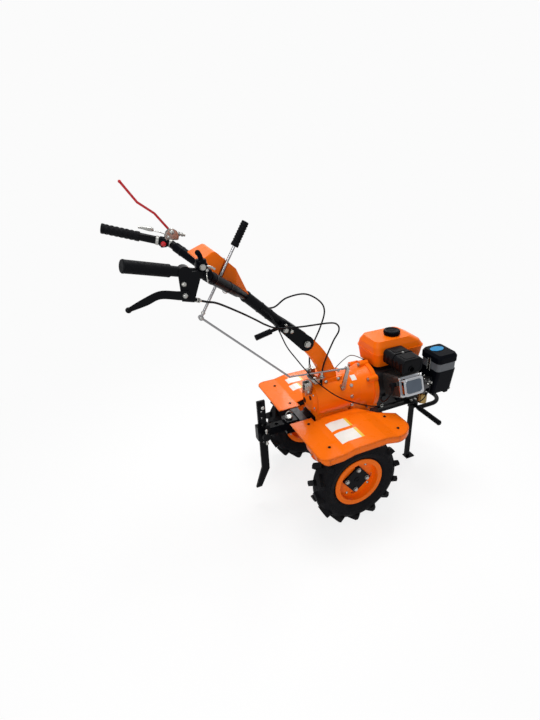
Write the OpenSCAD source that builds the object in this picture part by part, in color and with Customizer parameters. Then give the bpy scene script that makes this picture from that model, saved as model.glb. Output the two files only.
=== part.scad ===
// Walking tractor: petrol engine and gearbox on two driven wheels, tilting handlebar
// Millimetres, +X forward, +Y left, +Z up, the floor is Z = 0

/* [Wheels] */
// Radius over the tyre lugs
wheel_r = 207; // [195:1:220]
// Width of the tyre
tyre_w = 108; // [96:1:116]
// Height of the tyre lugs
lug_h = 13; // [10:1:20]
// Width of each lug
lug_w = 24; // [14:1:30]
// Number of lugs on each half of the tyre
lug_count = 14; // [10:1:16]
// Slant of the lugs, in degrees
lug_slant = 38; // [25:1:45]
// Radius of the rim flange
rim_r = 118; // [108:1:126]
// Width of the rim over its flanges
rim_w = 82; // [72:1:88]
// Distance between the middle planes of the two wheels
track = 528; // [500:2:560]
// Diameter of the axle shafts
axle_d = 26; // [20:1:30]
// Side of the square hub plate
hub_side = 100; // [84:1:116]
// Thickness of the hub plate
hub_t = 10; // [6:1:14]

/* [Gearbox] */
// Half length of the gearbox case and radius of its lower end
case_r = 84; // [78:1:88]
// Width of the gearbox case
case_w = 116; // [100:1:126]
// Height of the crank line over the floor
crank_z = 500; // [485:1:520]
// Radius of the barrel round the main shaft
barrel_r = 88; // [82:1:92]
// Radius of the flange that takes the engine
bell_r = 114; // [106:1:120]
// Distance from the axle forward to the engine face
bell_x = 215; // [205:1:230]
// Length of each axle boss
boss_len = 50; // [30:1:60]

/* [Engine] */
// Length of the crankcase along the crank
block_len = 150; // [140:1:160]
// Width of the crankcase
block_w = 186; // [170:1:200]
// Height from the engine base to the crank line
base_drop = 106; // [98:1:112]
// Tilt of the cylinder above level, in degrees
cyl_tilt = 18; // [12:1:24]
// Side of the cooling fins
fin_side = 112; // [100:1:118]
// Number of cooling fins
fin_count = 9; // [6:1:10]
// Radius of the fan housing
fan_r = 94; // [86:1:97]
// Length of the fuel tank
tank_len = 283; // [265:1:295]
// Width of the fuel tank
tank_w = 184; // [168:1:188]
// Height of the fuel tank
tank_h = 122; // [100:1:134]
// Radius of the fuel cap
cap_r = 40; // [30:1:44]
// Length of the muffler box
muffler_len = 144; // [120:1:146]
// Width of the muffler box
muffler_w = 110; // [92:1:114]
// Height of the muffler box
muffler_h = 70; // [60:1:80]
// Length of the air cleaner
cleaner_len = 126; // [112:1:136]
// Width of the air cleaner
cleaner_w = 108; // [92:1:114]

/* [Frame and stand] */
// Height of the frame rails
rail_h = 30; // [24:1:36]
// Width of each frame rail
rail_w = 28; // [22:1:34]
// Distance from the axle forward to the end of the rails
rail_end = 490; // [480:1:510]
// Radius of the bumper tube
bumper_r = 11; // [9:0.5:13]
// Distance from the rail ends to the bumper's front tube
bumper_out = 100; // [84:1:116]
// Half distance between the bumper's two sides
bumper_half = 136; // [124:1:150]
// Half length of the two carrying bars
bar_half = 296; // [270:1:310]
// Width of the stand leg
leg_w = 24; // [20:1:28]
// Distance of the stand from the middle plane
leg_y = 45; // [36:1:50]
// Length of the stand foot
foot_len = 50; // [40:1:60]

/* [Fenders] */
// Gap between the tyre and the fender top
fender_gap = 30; // [22:1:40]
// Thickness of the fender sheet
fender_t = 3; // [2:0.5:5]
// Distance of the outer fender edge from the middle plane
fender_out = 362; // [340:1:372]
// Distance from the axle back to the rear fender edge
fender_back = 214; // [205:1:225]
// Distance from the axle forward to the front fender edge
fender_front = 248; // [235:1:260]

/* [Hitch and coulter] */
// Width of the coulter bar
coulter_w = 36; // [30:1:42]
// Thickness of the coulter bar
coulter_t = 12; // [10:1:16]
// Length of the coulter bar
coulter_len = 455; // [430:1:465]
// Height of the coulter's tip over the floor
coulter_tip = 96; // [90:1:110]
// Distance from the axle back to the coulter
coulter_back = 320; // [310:1:335]
// Radius of the trailer pin hole
pin_r = 8.5; // [7:0.5:10]

/* [Handlebar] */
// Width of the handle post
post_w = 56; // [48:1:62]
// Inner radius of the curved handle post
post_in_r = 390; // [384:1:396]
// Thickness of the handle post
post_t = 62; // [54:1:68]
// Rise of the handlebar above level, in degrees
handle_rise = 44.5; // [40:0.5:50]
// Length of the single tube from the pivot
stem_len = 325; // [310:1:340]
// Radius of the single tube
stem_r = 21; // [18:0.5:23]
// Radius of the two arm tubes
arm_r = 15; // [13:0.5:17]
// Half distance between the two arm bends
bend_y = 250; // [235:1:265]
// Half distance between the grip ends
grip_y = 310; // [290:1:320]
// Length of each grip
grip_len = 132; // [110:1:145]
// Radius of each grip
grip_r = 19; // [18:0.5:21]
// Radius of the pivot bolt
bolt_r = 8; // [6:0.5:10]

/* [Clearances] */
// Radial clearance of turning shafts
run_gap = 0.05; // [0.02:0.01:0.1]
// Side clearance between parts that move past each other
side_gap = 0.3; // [0.2:0.1:1]

/* [Hidden] */
$fn = 48;
axle_z = wheel_r;
wheel_y = track / 2;
bead_r = rim_r - 14;
carcass_r = wheel_r - lug_h;
base_z = crank_z - base_drop;
rail_z = base_z - rail_h;
rail_y = 60;
block_end = bell_x + block_len;
cyl_x = bell_x + 90;
cyl_start = 96;
fin_pitch = 10;
head_at = cyl_start + fin_count * fin_pitch;
head_t = 38;
cover_t = 36;
tank_z = crank_z + 98;
tank_x = bell_x + 7 + tank_len / 2;
tank_y = 30;
muffler_x = cyl_x + 6;
muffler_gap = 6;
muffler_near = tank_y - tank_w / 2 - muffler_gap - muffler_len;
muffler_z = crank_z + 126;
port_y = -(head_at + head_t / 2) * cos(cyl_tilt) + (fin_side / 2 - 7) * sin(cyl_tilt);
cleaner_x = cyl_x + 71 + fin_side / 2;
cleaner_y = -183;
cleaner_z = crank_z - 6;
carb_z = crank_z + 56;
carb_y = -(head_at + head_t / 2) * cos(cyl_tilt);
fender_z = 2 * wheel_r + fender_gap + fender_t;
fender_low = fender_z - 12;
fender_in = barrel_r + 6;
nose_r = 90;
tail_r = 40;
bar_z = fender_low - fender_t;
bar_t = 6;
slot_x = -142;
slot_front = 185;
bracket_y = bell_r - 4;
case_back = -case_r;
seam_x = case_r + 12;
post_x = -400;
post_z = crank_z - 20;
post_out_r = post_in_r + post_t;
post_mid = post_in_r + post_t / 2;
pivot_a = 46.9;
pivot_x = post_x + post_mid * cos(pivot_a);
pivot_z = post_z + post_mid * sin(pivot_a);
cheek_y = post_w / 2 + side_gap;
cheek_t = 8;
rise_u = [-cos(handle_rise), 0, sin(handle_rise)];
rise_n = [sin(handle_rise), 0, cos(handle_rise)];
pivot = [pivot_x, 0, pivot_z];
merge = pivot + stem_len * rise_u;
bend = pivot + (stem_len + 263) * rise_u - 19 * rise_n + [0, bend_y, 0];
grip_end = bend + [-225, grip_y - bend_y, 64];
grip_dir = (grip_end - bend) / norm(grip_end - bend);
grip_start = grip_end - grip_len * grip_dir;
tube_end = grip_end - 4 * grip_dir;
lever_at = bend + 0.3 * (grip_end - bend);
nut_dir = [0.8, 0.45, -0.4];
nut_at = [lever_at[0], -lever_at[1] - 17.5, lever_at[2]] + [10, 0, -76] + 34 * nut_dir;
lever_y = -72;
lever_foot = merge + [-191, lever_y, -27];
lever_top = merge + [-2, lever_y, 279];
link_knee = pivot + [-98, lever_y, -114];
arm_eye = [62, -80, crank_z + 148];
arm_foot = [40, -80, crank_z + 58];
arm_t = 6;
stand_x = rail_end - 20;
stand_z = rail_z - 26;
stand_pin_r = 6;
leg_t = 16;
bumper_x = rail_end + bumper_out;
bumper_turn = 70;
bar_r = 9;
front_end = bumper_x + bumper_r;
back_end = grip_end[0] - grip_r * sqrt(1 - grip_dir[0] * grip_dir[0]);
origin_x = (front_end + back_end) / 2;
orange = [0.95, 0.42, 0.08];
black = [0.06, 0.06, 0.07];
steel = [0.7, 0.7, 0.72];
rubber = [0.09, 0.09, 0.09];
red = [0.75, 0.08, 0.1];

// Moves the axle based drawing to the middle of the footprint
module place() {
  translate([-origin_x, 0, 0]) children();
}

// Round bar between two points
module rod(p, q, r) {
  v = q - p;
  l = norm(v);
  translate(p) rotate([0, acos(v[2] / l), atan2(v[1], v[0])]) cylinder(h = l, r = r);
}

// Rectangle with round corners about the origin
module rounded(x, y, r) {
  square([x - 2 * r, y], center = true);
  square([x, y - 2 * r], center = true);
  for (sx = [-1, 1], sy = [-1, 1])
    translate([sx * (x / 2 - r), sy * (y / 2 - r)]) circle(r);
}

// Plate with round corners, standing on the point
module pad(at, x, y, h, r) {
  translate(at) linear_extrude(h) rounded(x, y, r);
}

// Box given by its two corners
module block(a, b) {
  translate(a) cube(b - a);
}

// Cylinder along Y between two Y values
module across(x, z, r, y0, y1) {
  translate([x, y0, z]) rotate([-90, 0, 0]) cylinder(h = y1 - y0, r = r);
}

// Cylinder along X between two X values
module along(y, z, r, x0, x1) {
  translate([x0, y, z]) rotate([0, 90, 0]) cylinder(h = x1 - x0, r = r);
}

// Plate drawn in X and Z, from one Y value to another
module side_plate(y0, y1) {
  translate([0, y1, 0]) rotate([90, 0, 0]) linear_extrude(y1 - y0) children();
}

// Mirrors a left hand part to the right
module right_side() {
  mirror([0, 1, 0]) children();
}

// Point on a smooth curve through four route points
function curve(a, b, c, d, t) = 0.5 * (2 * b + (c - a) * t + (2 * a - 5 * b + 4 * c - d) * t * t
  + (3 * b - a - 3 * c + d) * t * t * t);

// Points along a smooth curve through a route
function trail(route, steps) = [
  for (i = [0 : len(route) - 2]) for (k = [0 : steps - 1])
    curve(route[max(i - 1, 0)], route[i], route[i + 1], route[min(i + 2, len(route) - 1)], k / steps),
  route[len(route) - 1]];

// Direction of the curve at one of its points
function heading(line, i) = let(v = line[min(i + 1, len(line) - 1)] - line[max(i - 1, 0)]) v / norm(v);

// Tube swept along a route, with eight flats
module hose(route, r, steps) {
  line = trail(route, steps);
  n = len(line);
  points = [for (i = [0 : n - 1])
    let(h = heading(line, i), s0 = cross(h, [0, 1, 0]), s = s0 / norm(s0), u = cross(h, s))
    for (k = [0 : 7]) line[i] + r * (cos(45 * k) * s + sin(45 * k) * u)];
  sides = [for (i = [0 : n - 2], k = [0 : 7])
    [8 * i + k, 8 * i + (k + 1) % 8, 8 * i + 8 + (k + 1) % 8, 8 * i + 8 + k]];
  first = [[for (k = [7 : -1 : 0]) k]];
  last = [[for (k = [0 : 7]) 8 * (n - 1) + k]];
  polyhedron(points, concat(sides, first, last), convexity = 10);
}

// Outline of the gearbox case, round below and straight up to the main shaft
module case_outline() {
  translate([0, axle_z]) circle(case_r);
  translate([-case_r, axle_z]) square([2 * case_r, crank_z - axle_z]);
}

module gearbox() {
  color(orange) difference() {
    union() {
      side_plate(-case_w / 2, case_w / 2) case_outline();
      side_plate(-5, 5) offset_case();
      along(0, crank_z, barrel_r, -case_r, seam_x);
      translate([-case_r - 14, 0, crank_z]) rotate([0, 90, 0])
        cylinder(h = 14, r1 = barrel_r - 34, r2 = barrel_r - 20);
      across(0, axle_z, 42, -case_w / 2 - boss_len, case_w / 2 + boss_len);
    }
    across(0, axle_z, axle_d / 2 + run_gap, -case_w, case_w);
  }
}

// Outline of the seam flange round the case
module offset_case() {
  intersection() {
    union() {
      translate([0, axle_z]) circle(case_r + 9);
      translate([-case_r, axle_z]) square([2 * case_r + 9, crank_z - axle_z]);
    }
    translate([-case_r, 0]) square([2 * case_r + 20, crank_z]);
  }
}

module clutch_housing() {
  color(orange) difference() {
    union() {
      along(0, crank_z, barrel_r, seam_x, 130);
      translate([130, 0, crank_z]) rotate([0, 90, 0])
        cylinder(h = bell_x - 22 - 130, r1 = barrel_r, r2 = bell_r - 6);
      along(0, crank_z, bell_r, bell_x - 22, bell_x);
      for (a = [40, 90, 140, 220, 320]) rotate_about_crank(a)
        along(0, crank_z + bell_r - 4, 14, bell_x - 46, bell_x);
      block([100, -74, base_z], [bell_x, 74, crank_z - 40]);
    }
    translate([0, -200, base_z - 200]) cube([400, 400, 200]);
  }
}

// Turns about the crank line
module rotate_about_crank(a) {
  translate([0, 0, crank_z]) rotate([a - 90, 0, 0]) translate([0, 0, -crank_z]) children();
}

module handle_post() {
  color(orange) difference() {
    union() {
      side_plate(-post_w / 2, post_w / 2) intersection() {
        translate([post_x, post_z]) difference() {
          circle(post_out_r);
          circle(post_in_r);
        }
        polygon([[post_x, post_z], [post_x + 700, post_z], [post_x + 700, post_z + 700 * tan(pivot_a)]]);
      }
      across(pivot_x, pivot_z, post_t / 2, -post_w / 2, post_w / 2);
      block([-46, -post_w / 2 - 10, crank_z + barrel_r - 22], [60, post_w / 2 + 10, crank_z + barrel_r + 8]);
    }
    along(0, crank_z, barrel_r, -200, 200);
    across(pivot_x, pivot_z, bolt_r + run_gap, -post_w, post_w);
  }
}

module engine_frame() {
  color(black) {
    difference() {
      union() {
        for (s = [-1, 1]) translate([100, s * rail_y - rail_w / 2, rail_z])
          cube([rail_end - 100, rail_w, rail_h]);
        block([rail_end - 60, -rail_y - rail_w / 2, rail_z - 6], [rail_end, rail_y + rail_w / 2, rail_z]);
        block([100, -rail_y, rail_z], [130, rail_y, base_z]);
        for (s = [-1, 1]) translate([0, -leg_y + s * (leg_t / 2 + side_gap + 3), 0])
          side_plate(-3, 3) stand_lug();
      }
      across(stand_x, stand_z, stand_pin_r, -leg_y - 20, -leg_y + 20);
      for (s = [-1, 1]) translate([rail_end - 46, 25 * s, rail_z - 20]) cylinder(h = 40, r = 5.5);
    }
    across(stand_x, stand_z, stand_pin_r, -leg_y - leg_t / 2 - 10, -leg_y + leg_t / 2 + 10);
  }
}

// Lug that carries the stand's pin
module stand_lug() {
  translate([stand_x, stand_z]) circle(15);
  translate([stand_x - 15, stand_z]) square([30, rail_z - 3 - stand_z]);
}

module front_bumper() {
  z = rail_z + rail_h / 2 - 7;
  bar_x = rail_end - 53;
  color(black) {
    for (s = [0, 1]) mirror([0, s, 0]) {
      across(bar_x, z, bar_r, rail_y + rail_w / 2, bar_half);
      along(bumper_half, z, bumper_r, bar_x - 6, bumper_x - bumper_turn);
      translate([bumper_x - bumper_turn, bumper_half - bumper_turn, z]) rotate_extrude(angle = 90)
        translate([bumper_turn, 0]) circle(bumper_r);
    }
    across(bumper_x, z, bumper_r, bumper_turn - bumper_half, bumper_half - bumper_turn);
  }
}

module front_stand() {
  color(black) difference() {
    union() {
      across(stand_x, stand_z, leg_w / 2, -leg_y - leg_t / 2, -leg_y + leg_t / 2);
      block([stand_x - leg_w / 2, -leg_y - leg_t / 2, 0], [stand_x + leg_w / 2, -leg_y + leg_t / 2, stand_z]);
      block([stand_x - leg_w / 2, -leg_y - 20, 0], [stand_x - leg_w / 2 + foot_len, -leg_y + 20, 6]);
    }
    across(stand_x, stand_z, stand_pin_r + run_gap, -leg_y - leg_t, -leg_y + leg_t);
  }
}

// Axle shaft and hub plate of the left wheel
module axle() {
  color(black) {
    across(0, axle_z, axle_d / 2, 12, wheel_y + 12 + hub_t);
    side_plate(wheel_y + 12, wheel_y + 12 + hub_t) translate([0, axle_z]) rotate(38) difference() {
      rounded(hub_side, hub_side, 8);
      circle(axle_d / 2);
    }
  }
}

module axle_left() {
  axle();
}

module axle_right() {
  right_side() axle();
}

// Pressed rim of the left wheel
module rim() {
  color(orange) translate([0, wheel_y, axle_z]) rotate([-90, 0, 0]) {
    rotate_extrude() polygon([[bead_r - 8, -rim_w / 2], [rim_r, -rim_w / 2], [rim_r, -rim_w / 2 + 5],
      [bead_r, -rim_w / 2 + 6], [bead_r, rim_w / 2 - 6], [rim_r, rim_w / 2 - 5], [rim_r, rim_w / 2],
      [bead_r - 8, rim_w / 2]]);
    difference() {
      translate([0, 0, 6]) cylinder(h = 6, r = bead_r - 8);
      cylinder(h = 40, r = axle_d / 2 + 12);
      for (a = [0 : 90 : 270]) rotate(a + 8) translate([bead_r - 26, 0, 0]) linear_extrude(40)
        rounded(12, 26, 5);
    }
  }
}

module rim_left() {
  rim();
}

module rim_right() {
  right_side() rim();
}

// Section of the tyre under its lugs, radius across and width up
module tyre_section() {
  polygon([[bead_r, -rim_w / 2 + 7], [rim_r + 2, -rim_w / 2 + 7], [rim_r + 16, -tyre_w / 2 + 8],
    [rim_r + 32, -tyre_w / 2 + 3], [carcass_r - 24, -tyre_w / 2 + 3], [carcass_r - 7, -tyre_w / 2 + 12],
    [carcass_r, -tyre_w / 2 + 26], [carcass_r, tyre_w / 2 - 26], [carcass_r - 7, tyre_w / 2 - 12],
    [carcass_r - 24, tyre_w / 2 - 3], [rim_r + 32, tyre_w / 2 - 3], [rim_r + 16, tyre_w / 2 - 8],
    [rim_r + 2, rim_w / 2 - 7], [bead_r, rim_w / 2 - 7]]);
}

// One slanting lug of the outer half, standing out along X
module lug() {
  translate([carcass_r - 20, 0, 0]) rotate([lug_slant, 0, 0]) translate([0, -lug_w / 2, 4])
    cube([60, lug_w, tyre_w * 0.58]);
}

module tyre() {
  color(rubber) translate([0, wheel_y, axle_z]) rotate([-90, 0, 0]) {
    rotate_extrude() tyre_section();
    intersection() {
      difference() {
        cylinder(h = tyre_w, r = wheel_r, center = true);
        cylinder(h = tyre_w + 2, r = carcass_r - 12, center = true);
      }
      union() {
        for (k = [0 : lug_count - 1]) {
          rotate(360 * k / lug_count) lug();
          rotate(360 * (k + 0.5) / lug_count) mirror([0, 0, 1]) lug();
        }
      }
    }
  }
}

module tyre_left() {
  tyre();
}

module tyre_right() {
  right_side() tyre();
}

// Plan of the left fender
module fender_plan() {
  polygon([[-fender_back, 60], [case_back - 26, 60], [case_back - 26, fender_in], [96, fender_in],
    [148, fender_in + 34], [174, 160], [fender_front, 204], [fender_front, fender_out - nose_r],
    [fender_front - nose_r, fender_out], [-fender_back + tail_r, fender_out],
    [-fender_back, fender_out - tail_r]]);
  translate([fender_front - nose_r, fender_out - nose_r]) circle(nose_r);
  translate([-fender_back + tail_r, fender_out - tail_r]) circle(tail_r);
}

// Sheet of the left fender seen from the side
module fender_sheet(drop) {
  polygon([[-fender_back, fender_low - drop], [-115, fender_low - drop], [-60, fender_z - drop],
    [95, fender_z - drop], [150, fender_low - drop], [fender_front, fender_low - drop],
    [fender_front, fender_low], [150, fender_low], [95, fender_z], [-60, fender_z], [-115, fender_low],
    [-fender_back, fender_low]]);
}

module fender() {
  color(orange) difference() {
    union() {
      intersection() {
        side_plate(0, fender_out) fender_sheet(fender_t);
        linear_extrude(fender_z + 50) fender_plan();
      }
      side_plate(fender_out - fender_t, fender_out) intersection() {
        fender_sheet(30);
        translate([-fender_back + tail_r, 0]) square([fender_back + fender_front - tail_r - nose_r, 900]);
      }
    }
    for (y = [100, fender_out - 72]) translate([slot_x, y, 0]) linear_extrude(900) rounded(12, 8, 3.9);
    for (y = [205, fender_out - 54]) translate([slot_front, y, 0]) cylinder(h = 900, r = 5);
  }
}

module fender_left() {
  fender();
}

module fender_right() {
  right_side() fender();
}

module fender_bars() {
  color(steel) {
    block([slot_x - 17, 27 - fender_out, bar_z - bar_t], [slot_x + 17, fender_out - 27, bar_z]);
    for (s = [0, 1]) mirror([0, s, 0]) {
      block([slot_front - 15, bracket_y, bar_z - bar_t], [slot_front + 15, fender_out - 36, bar_z]);
      block([slot_front - 15, bracket_y, rail_z], [slot_front + 15, bracket_y + bar_t, bar_z - bar_t / 2]);
      block([slot_front - 15, rail_y + rail_w / 2, rail_z],
        [slot_front + 15, bracket_y + bar_t / 2, rail_z + bar_t]);
    }
  }
}

module hitch_bracket() {
  color(black) difference() {
    union() {
      block([case_back - 12, -50, bar_z - bar_t - 100], [case_back, 50, bar_z - bar_t]);
      block([-216, -30, bar_z - bar_t - 12], [case_back - 12, 30, bar_z - bar_t]);
      block([-216, -30, bar_z - bar_t - 62], [case_back - 12, 30, bar_z - bar_t - 50]);
    }
    translate([-192, 0, 0]) cylinder(h = 900, r = 9);
  }
}

module drawbar() {
  z0 = bar_z - bar_t - 50 + side_gap;
  color(black) difference() {
    union() {
      block([-coulter_back, -18, z0], [-112, 18, z0 + 38 - 2 * side_gap]);
      translate([-192, 0, z0 - 28]) cylinder(h = 80, r = 8.7);
      block([-coulter_back - coulter_w / 2 - 10, -coulter_t / 2 - 12, z0 - 16],
        [-coulter_back + coulter_w / 2 + 10, coulter_t / 2 + 12, z0 + 52]);
      across(-coulter_back, z0 + 18, 6, -coulter_t / 2 - 40, -coulter_t / 2 - 8);
      across(-coulter_back, z0 + 18, 18, -coulter_t / 2 - 50, -coulter_t / 2 - 38);
    }
    block([-coulter_back - coulter_w / 2 - side_gap, -coulter_t / 2 - side_gap, 0],
      [-coulter_back + coulter_w / 2 + side_gap, coulter_t / 2 + side_gap, 900]);
    translate([-254, 0, 0]) cylinder(h = 900, r = pin_r);
  }
}

module coulter() {
  top = coulter_tip + coulter_len;
  color(steel) side_plate(-coulter_t / 2, coulter_t / 2) difference() {
    polygon([[-coulter_back - coulter_w / 2, top], [-coulter_back - coulter_w / 2, coulter_tip + 104],
      [-coulter_back - coulter_w / 2 - 34, coulter_tip], [-coulter_back - coulter_w / 2 - 8, coulter_tip],
      [-coulter_back + coulter_w / 2, coulter_tip + 92], [-coulter_back + coulter_w / 2, top]]);
    for (k = [0 : 6]) translate([-coulter_back, top - 22 - 32 * k]) circle(5.5);
  }
}

// Point of the handlebar given along and above its rise
function on_handle(u, y, n) = pivot + u * rise_u + n * rise_n + [0, y, 0];

// Turns a drawing so that its X runs along the handlebar and its Y stands above it
module handle_side(y0, y1) {
  translate([pivot_x, y1, pivot_z]) rotate([0, handle_rise, 0]) rotate([90, 0, 0]) mirror([1, 0, 0])
    linear_extrude(y1 - y0) children();
}

module handlebar_fork() {
  color(black) difference() {
    union() {
      for (s = [0, 1])
      handle_side(s > 0 ? cheek_y : -cheek_y - cheek_t, s > 0 ? cheek_y + cheek_t : -cheek_y) {
        circle(post_t / 2 + 2);
        polygon([[0, -post_t / 2 - 2], [112, -stem_r - 6], [150, -stem_r], [150, stem_r], [112, stem_r + 4],
          [0, post_t / 2 + 2]]);
      }
      handle_side(-cheek_y - 1, cheek_y + 1)
        polygon([[72, -stem_r - 8], [112, -stem_r - 6], [112, stem_r + 4],
        [72, stem_r + 8]]);
    }
    across(pivot_x, pivot_z, bolt_r, -100, 100);
  }
}

module pivot_bolt() {
  y = cheek_y + cheek_t;
  color(steel) {
    across(pivot_x, pivot_z, bolt_r, -y - 8, y + 14);
    across(pivot_x, pivot_z, bolt_r + 6, -y - 7, -y);
    across(pivot_x, pivot_z, bolt_r + 6, y, y + 10);
  }
}

// Unit vector square to a flat direction
function square_to(v) = [-v[1], v[0]] / norm(v);

module clamp_lever() {
  y = -cheek_y - cheek_t;
  eye = on_handle(128, 0, -8);
  knee = on_handle(160, 0, -22);
  tip = knee + [-92, 0, -22];
  a = [eye[0], eye[2]];
  b = [knee[0], knee[2]];
  e = b + 0.55 * ([tip[0], tip[2]] - b);
  n1 = square_to(b - a);
  n2 = square_to(e - b);
  color(black) {
    across(eye[0], eye[2], 11, y - 15, y);
    side_plate(y - 13, y - 7)
      polygon([a + 7 * n1, a - 7 * n1, b - 7 * n1, e - 6 * n2, e + 6 * n2, b + 6 * n2]);
    rod(knee + 0.35 * (tip - knee) + [0, y - 10, 0], tip + [0, y - 10, 0], 10);
  }
}

// Tubes of the handlebar, grown by a clearance
module tubes(grow) {
  rod(on_handle(112, 0, 0), merge, stem_r + grow);
  translate(merge) sphere(stem_r + 2 + grow);
  for (s = [-1, 1]) {
    rod(merge, [bend[0], s * bend[1], bend[2]], arm_r + grow);
    translate([bend[0], s * bend[1], bend[2]]) sphere(arm_r + 0.6 + grow);
    rod([bend[0], s * bend[1], bend[2]], [tube_end[0], s * tube_end[1], tube_end[2]], arm_r + grow);
  }
}

module handle_tube() {
  color(black) {
    tubes(0);
    difference() {
      handle_side(-120, 120) translate([stem_len + 126, -14]) square([46, 4]);
      rod(lever_foot, lever_top, 9);
    }
  }
}

module console_cover() {
  color(orange) difference() {
    hull() {
      rod(on_handle(stem_len + 8, -16, 6), on_handle(stem_len + 8, 16, 6), 9);
      rod(on_handle(stem_len + 124, -62, 43), on_handle(stem_len + 124, 62, 43), 14);
      rod(on_handle(stem_len + 212, -72, 43), on_handle(stem_len + 212, 72, 43), 14);
      rod(on_handle(stem_len + 238, -84, 0), on_handle(stem_len + 238, 84, 0), 4);
      rod(on_handle(stem_len + 80, -66, -4), on_handle(stem_len + 80, 66, -4), 4);
    }
    tubes(side_gap);
    rod(lever_foot, lever_top, 9);
    handle_side(-200, 200) translate([stem_len, -40]) square([300, 30.2]);
  }
}

// Grip on the left arm
module grip_body() {
  difference() {
    rod(grip_start, grip_end, grip_r);
    rod(grip_start - 10 * grip_dir, tube_end + side_gap * grip_dir, arm_r + side_gap);
  }
}

module grip_left() {
  color(rubber) grip_body();
}

module grip_right() {
  color(rubber) right_side() grip_body();
}

module clutch_lever() {
  y = bend[1] + 19;
  color(red) {
    across(bend[0] + 11, bend[2] + 41, 9, bend[1] + 11, y + 8);
    side_plate(y, y + 6) translate([bend[0], bend[2]]) polygon([[14.5, 43.5], [-33, 111], [-86, 153],
      [-130.5, 223.5], [-138, 218.5], [-92.5, 147], [-39.5, 105], [7, 38.5]]);
    translate([bend[0] - 134.2, y + 3, bend[2] + 221]) sphere(6);
  }
}

module clutch_bracket() {
  color(steel) difference() {
    block(bend + [-15, -8, 4], bend + [37, 11 - side_gap, 55]);
    tubes(0);
  }
}

module reverse_bracket() {
  p = lever_at;
  color(black) difference() {
    union() {
      side_plate(-p[1] - 20, -p[1] - 15) translate([p[0], p[2]])
        polygon([[-14, 2], [44, 2], [46, -22], [20, -88], [-14, -80]]);
      across(p[0] + 6, p[2], arm_r + 4, -p[1] - 20, -p[1] + 12);
      rod(nut_at - 28 * nut_dir, nut_at, 5);
    }
    tubes(0);
  }
}

module reverse_lever() {
  p = lever_at;
  y = -p[1] - 26;
  color(black) {
    across(p[0] - 4, p[2] - 63, 13, y, y + 6 - side_gap);
    side_plate(y, y + 6 - side_gap) translate([p[0], p[2]])
      polygon([[8, -52], [-20, -50], [-70, -41], [-117, -56],
      [-160, -75], [-163, -84], [-152, -86], [-110, -75], [-72, -63], [-18, -75], [4, -76]]);
    translate([p[0] - 161, y + 3, p[2] - 81]) sphere(8.5);
  }
}

module throttle_control() {
  color(black) difference() {
    union() {
      translate([bend[0] - 22, -bend[1] - 14, bend[2] + 10]) cube([34, 30, 24]);
      translate([bend[0] - 5, -bend[1], bend[2] + 30]) cylinder(h = 16, r = 14);
      translate([bend[0] - 20, -bend[1] - 5, bend[2] + 40]) cube([30, 10, 26]);
    }
    tubes(0);
  }
}

module stop_switch() {
  color(red) difference() {
    translate([bend[0] - 40, bend[1] - 30, bend[2] - 12]) cube([26, 26, 26]);
    tubes(0);
  }
}

module gear_lever() {
  d = (lever_top - lever_foot) / norm(lever_top - lever_foot);
  color(steel) {
    rod(lever_foot, lever_top - 70 * d, 5);
    rod(lever_top - 84 * d, lever_top, 11);
    across(on_lever(-22.3)[0], on_lever(-22.3)[2], 8, lever_y - 12, lever_y + 12);
    across(lever_foot[0], lever_foot[2], 9, lever_y - 7, lever_y + 7);
  }
}

// Point of the gear lever at a height above the handlebar
function on_lever(n) = let(d = lever_top - lever_foot, k = (n - (lever_foot - pivot) * rise_n) / (d * rise_n))
  lever_foot + k * d;

module gear_link() {
  knee = link_knee;
  tip = [arm_eye[0], lever_y, arm_eye[2]];
  color(steel) {
    rod(lever_foot + 9.2 * (knee - lever_foot) / norm(knee - lever_foot), knee, 4);
    translate(knee) sphere(4.4);
    rod(knee, tip, 4);
    across(tip[0], tip[2], 9, arm_eye[1] + arm_t / 2 + side_gap, lever_y + 6);
  }
}

module selector_arm() {
  color(steel) difference() {
    union() {
      hull() {
        across(arm_eye[0], arm_eye[2], 8, arm_eye[1] - arm_t / 2, arm_eye[1] + arm_t / 2);
        across(arm_foot[0], arm_foot[2], 11, arm_eye[1] - arm_t / 2, arm_eye[1] + arm_t / 2);
      }
      across(arm_foot[0], arm_foot[2], 8, arm_eye[1] - 8, -34);
    }
    along(0, crank_z, barrel_r, -200, 200);
  }
}

// Turns a drawing so that its Z runs out along the cylinder
module on_cylinder() {
  translate([cyl_x, 0, crank_z]) rotate([90 - cyl_tilt, 0, 0]) children();
}

// Crankcase without its mounting feet
module crankcase() {
  translate([bell_x, 0, 0]) rotate([90, 0, 90]) linear_extrude(block_len)
    translate([5, (base_z + crank_z + 84) / 2]) rounded(block_w, crank_z + 84 - base_z, 22);
}

module engine_block() {
  color([0.35, 0.35, 0.36]) {
    difference() {
      union() {
        crankcase();
        block([bell_x + 8, -92, base_z], [block_end + 14, 96, base_z + 10]);
      }
      for (x = [bell_x + 24, block_end - 6], s = [-1, 1]) translate([x, s * rail_y, 0])
        cylinder(h = base_z + 16, r = 4.5);
    }
    for (x = [bell_x + 30, block_end - 30]) block([x, -30, crank_z + 83], [x + 18, 80, tank_z]);
  }
}

module cylinder_head() {
  color([0.6, 0.6, 0.62]) difference() {
    on_cylinder() {
      translate([0, 0, 60]) cylinder(h = head_at - 60, r = 44);
      for (k = [0 : fin_count - 1])
        pad([0, 0, cyl_start + 4 + k * fin_pitch], fin_side, fin_side - 6, 4, 12);
      pad([0, 0, head_at], fin_side, fin_side - 14, head_t, 10);
    }
    crankcase();
  }
}

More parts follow.
